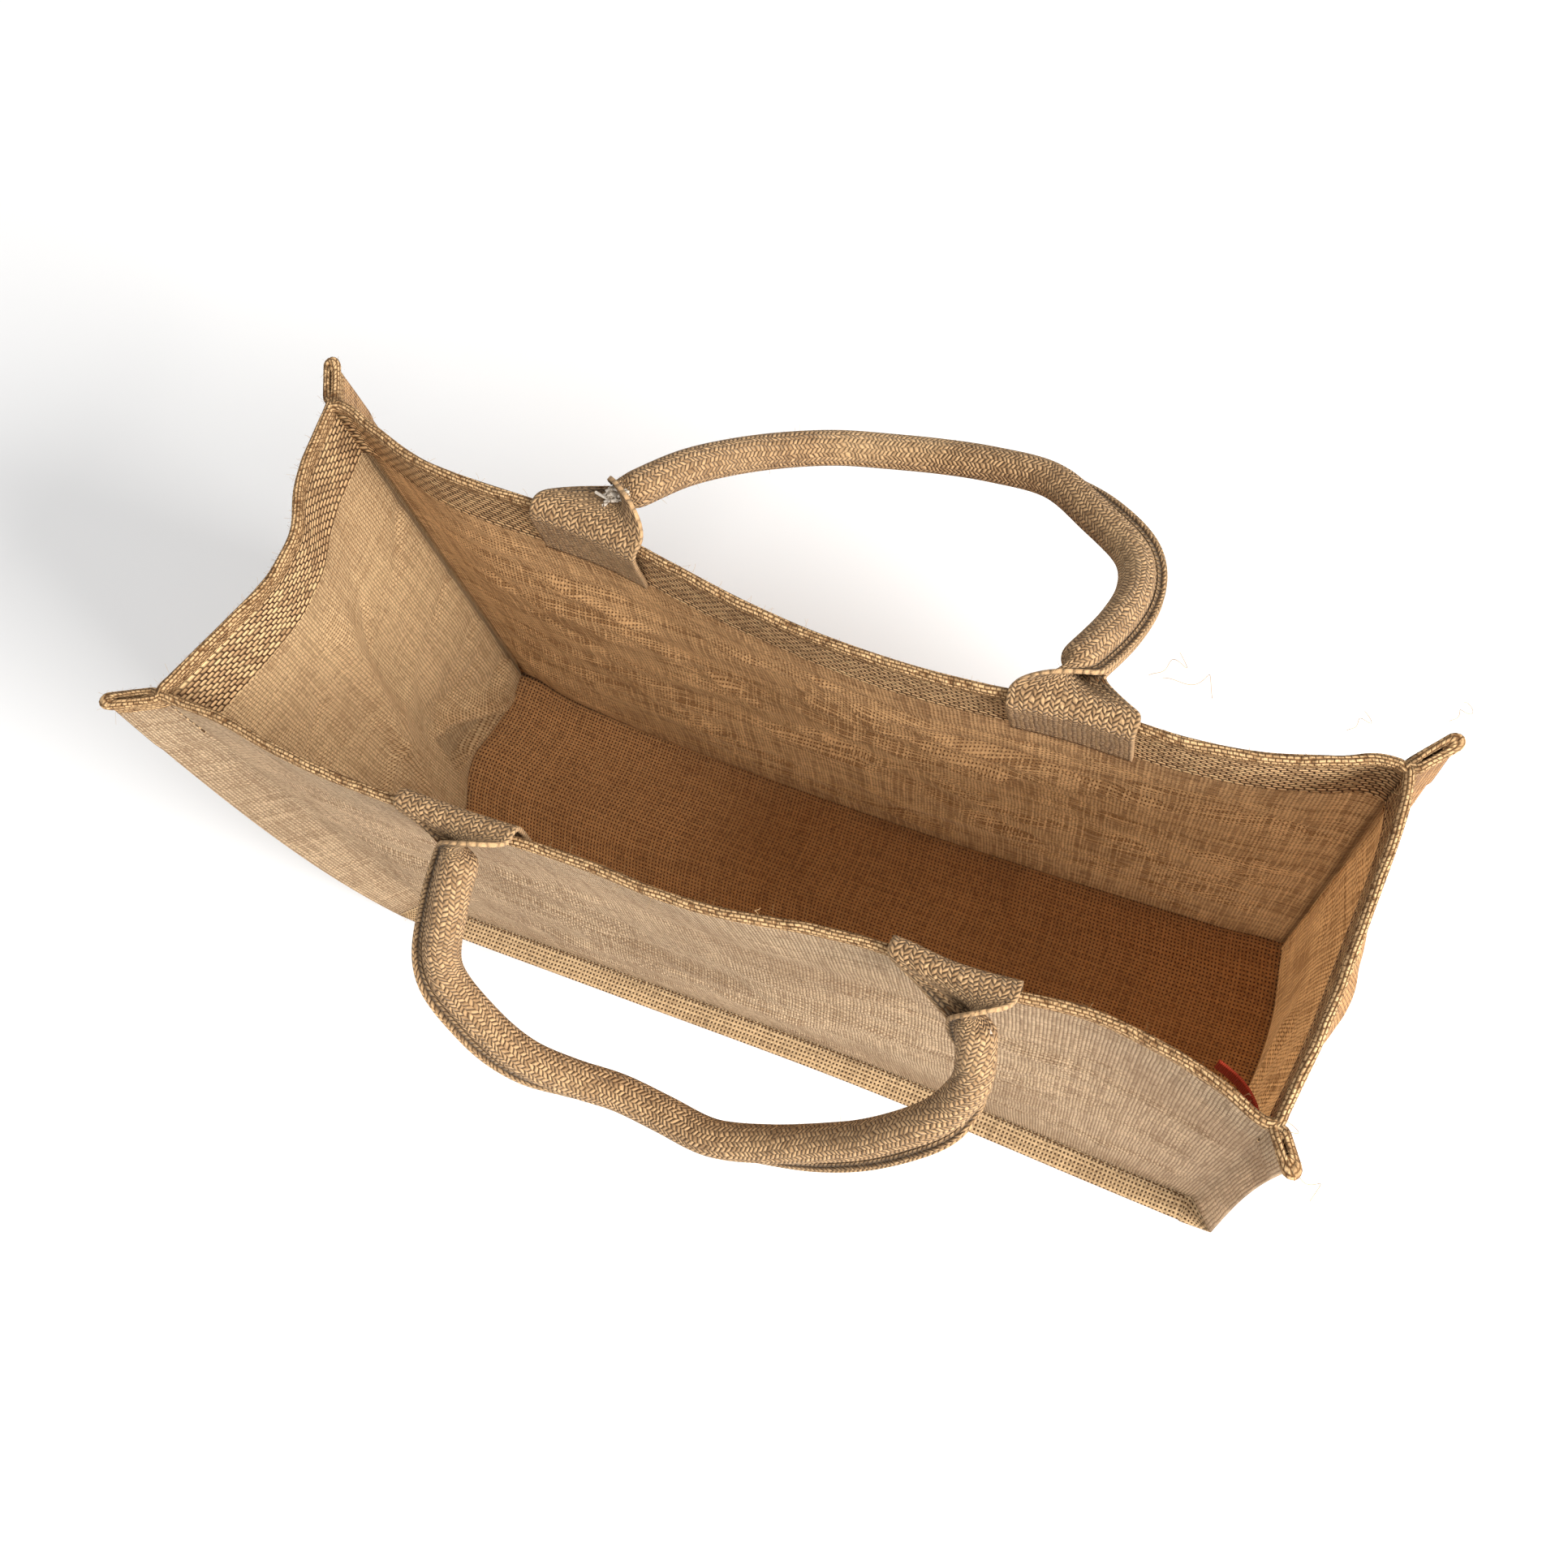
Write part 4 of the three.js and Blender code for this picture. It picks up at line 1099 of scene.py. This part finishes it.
def build_stitches():
    """Dark thread: two lines along the leaves of each handle, and one where the flange turns."""
    stitches = []
    skip = 34
    for rows in handle_rows.values():
        normals = grid_normals(rows.transpose(1, 0, 2))
        for index in (2, 4, -3, -5):
            line = rows[skip:-skip, index]
            normal = normals[index, skip:-skip]
            stitches += along_line(line - normal * WEBBING / 2, -normal, 3.4, 0.7)
    for grid in wall_grids.values():
        root = EAR_CELLS + ROUND_CELLS
        line = grid[FLANGE_ROWS - 1, root:-root] + (0, 0, 0.35)
        stitches += along_line(line, np.broadcast_to((0.0, 0.0, 1.0), line.shape), 3.6, 0.72)
    add_threads("stitches", stitches, 0.33, 6, THREAD)


def fuzz_on(grid, count, longest, stand):
    """Loose fibres that stand off a grid of points, at random points of it; build_fibres gives the walls'
    rims and flanges more of them.
    """
    normals = grid_normals(grid)
    rows, columns = grid.shape[:2]
    j = random.integers(1, rows - 1, count)
    i = random.integers(1, columns - 1, count)
    start = grid[j, i] + random.normal(0, 0.6, (count, 3))
    side = random.choice((-1, 1), (count, 1))
    heading = unit(normals[j, i] * side * stand + random.normal(0, 0.6, (count, 3)))
    bend = unit(random.normal(0, 1, (count, 3)))
    reach = longest * random.beta(1.6, 3.2, count)[:, None]
    t = np.linspace(0, 1, 6)
    return [start + heading * reach * k + bend * reach * 0.5 * k * k for k in t]


def build_fibres():
    groups = []
    for grid in wall_grids.values():
        top = grid[-len(HEM_LEVELS) - len(RIM_ROWS) - 2:-len(HEM_LEVELS)]
        groups.append(fuzz_on(top, 620, 5, 0.7))
        groups.append(fuzz_on(grid[:FLANGE_ROWS + 4], 220, 4, 0.6))
        groups.append(fuzz_on(grid, 250, 4, 0.4))
    for rows in handle_rows.values():
        groups.append(fuzz_on(rows, 1000, 4.5, 0.9))
    lines = np.concatenate([np.stack(group, axis=1) for group in groups])
    lines[:, :, 2] = np.maximum(lines[:, :, 2], 0.4)
    add_threads("loose_fibres", lines, random.uniform(0.035, 0.06, len(lines)), 3, FIBRE)


# Threads that have come loose: where each starts, which way it heads, its length and its curl
LOOSE_THREADS = [
    ((136, 72, 306), (0.9, 0.2, 0.3), 34, 5), ((131, 70, 309), (0.6, 0.6, 0.2), 26, 4),
    ((234, -84, 311), (0.8, -0.3, 0.2), 22, 4), ((228, -82, 314), (0.3, 0.9, 0.3), 18, 3),
    ((30, -71, 314), (-0.2, 0.6, 0.5), 7, 1.5), ((-52, -74, 314), (0.4, -0.5, 0.6), 6, 1.5),
    ((205, 72, 313), (0.5, 0.6, 0.4), 16, 3), ((238, 88, 313), (0.4, 0.5, 0.6), 14, 3),
]


def build_loose_threads():
    lines = []
    for start, heading, length, curl in LOOSE_THREADS:
        heading = unit(np.array(heading, float))
        aside = unit(np.cross(heading, (0.2, 0.3, 0.9)))
        above = np.cross(heading, aside)
        t = np.linspace(0, 1, 40)[:, None]
        turn = t * 2 * math.pi * random.uniform(1.0, 1.9)
        line = start + heading * length * 0.55 * np.sin(1.7 * t)
        lines.append(line + (aside * np.sin(turn) + above * (1 - np.cos(turn))) * curl * t)
    add_threads("loose_threads", lines, 0.12, 5, FIBRE)


# Frayed ends of the ropes in the mouths of the webbing: place, heading, reach and yarn count
TUFTS = [
    ((-89, 69, 317), (-0.5, -0.3, 0.7), 5, 90),
    ((-87, -90, 317), (-0.4, 0.2, 0.8), 2.5, 40),
    ((119, -81, 317), (-0.3, 0.1, 0.9), 2.5, 40),
]


def build_tufts():
    lines = []
    for place, heading, reach, count in TUFTS:
        heading = unit(np.array(heading, float))
        start = place + random.normal(0, 1.7, (count, 3))
        spray = unit(heading + random.normal(0, 0.35, (count, 3)))
        bend = random.normal(0, 0.35, (count, 3))
        length = reach * random.uniform(0.5, 1.0, (count, 1))
        t = np.linspace(0, 1, 6)
        tuft = [start + (spray + bend * k * k) * length * k for k in t]
        lines.append(np.stack(tuft, axis=1))
    add_threads("rope_ends", np.concatenate(lines), 0.7, 6, ROPE_YARN)


build_stitches()
build_fibres()
build_loose_threads()
build_tufts()

# Floor, light and camera

FLOOR_HALF = 6.0


def build_floor():
    s = Shader("pale_floor")
    material = s.surface((0.93, 0.93, 0.93, 1.0), 0.9, bump={})
    corners = np.array([(-1, -1, 0), (1, -1, 0), (1, 1, 0), (-1, 1, 0)]) * FLOOR_HALF / MM
    make_mesh("floor", corners, [(0, 1, 2, 3)], (material,))


def soft_light(name, place, towards, size, power, colour):
    lamp = bpy.data.lights.new(name, "AREA")
    lamp.shape = "RECTANGLE"
    lamp.size, lamp.size_y = size
    lamp.energy = power
    lamp.color = colour
    made = add_object(name, lamp)
    made.location = place
    made.rotation_euler = (Vector(towards) - Vector(place)).to_track_quat("-Z", "Y").to_euler()


def build_light():
    world = bpy.data.worlds.new("studio")
    world.use_nodes = True
    sky = world.node_tree.nodes["Background"]
    sky.inputs["Color"].default_value = (1.0, 1.0, 1.0, 1.0)
    sky.inputs["Strength"].default_value = 0.68
    bpy.context.scene.world = world
    soft_light("key", (2.1, -0.45, 1.6), (0, 0, 0.15), (1.2, 1.2), 105, (1.0, 0.98, 0.95))
    soft_light("front_fill", (0.6, -2.0, 1.5), (0, 0, 0.1), (1.6, 1.6), 14, (1.0, 1.0, 1.0))


def build_camera():
    """The photograph's view, worked out from the corners of the bag's base and rim."""
    focal_px, frame_px = 2150, 1932
    place = Vector((0.1672, -0.1793, 0.9330))
    right = Vector((0.91612, 0.38235, -0.12053))
    down = Vector((0.33125, -0.89129, -0.30966))
    forward = Vector((-0.22582, 0.24376, -0.94318))
    data = bpy.data.cameras.new("camera")
    data.sensor_width = 36
    data.lens = focal_px * data.sensor_width / frame_px
    data.clip_start = 0.05
    camera = add_object("camera", data)
    turn = Matrix((right, -down, -forward)).transposed()
    camera.matrix_world = Matrix.Translation(place) @ turn.to_4x4()
    bpy.context.scene.camera = camera


build_floor()
build_light()
build_camera()
bpy.context.scene.view_settings.view_transform = "Standard"
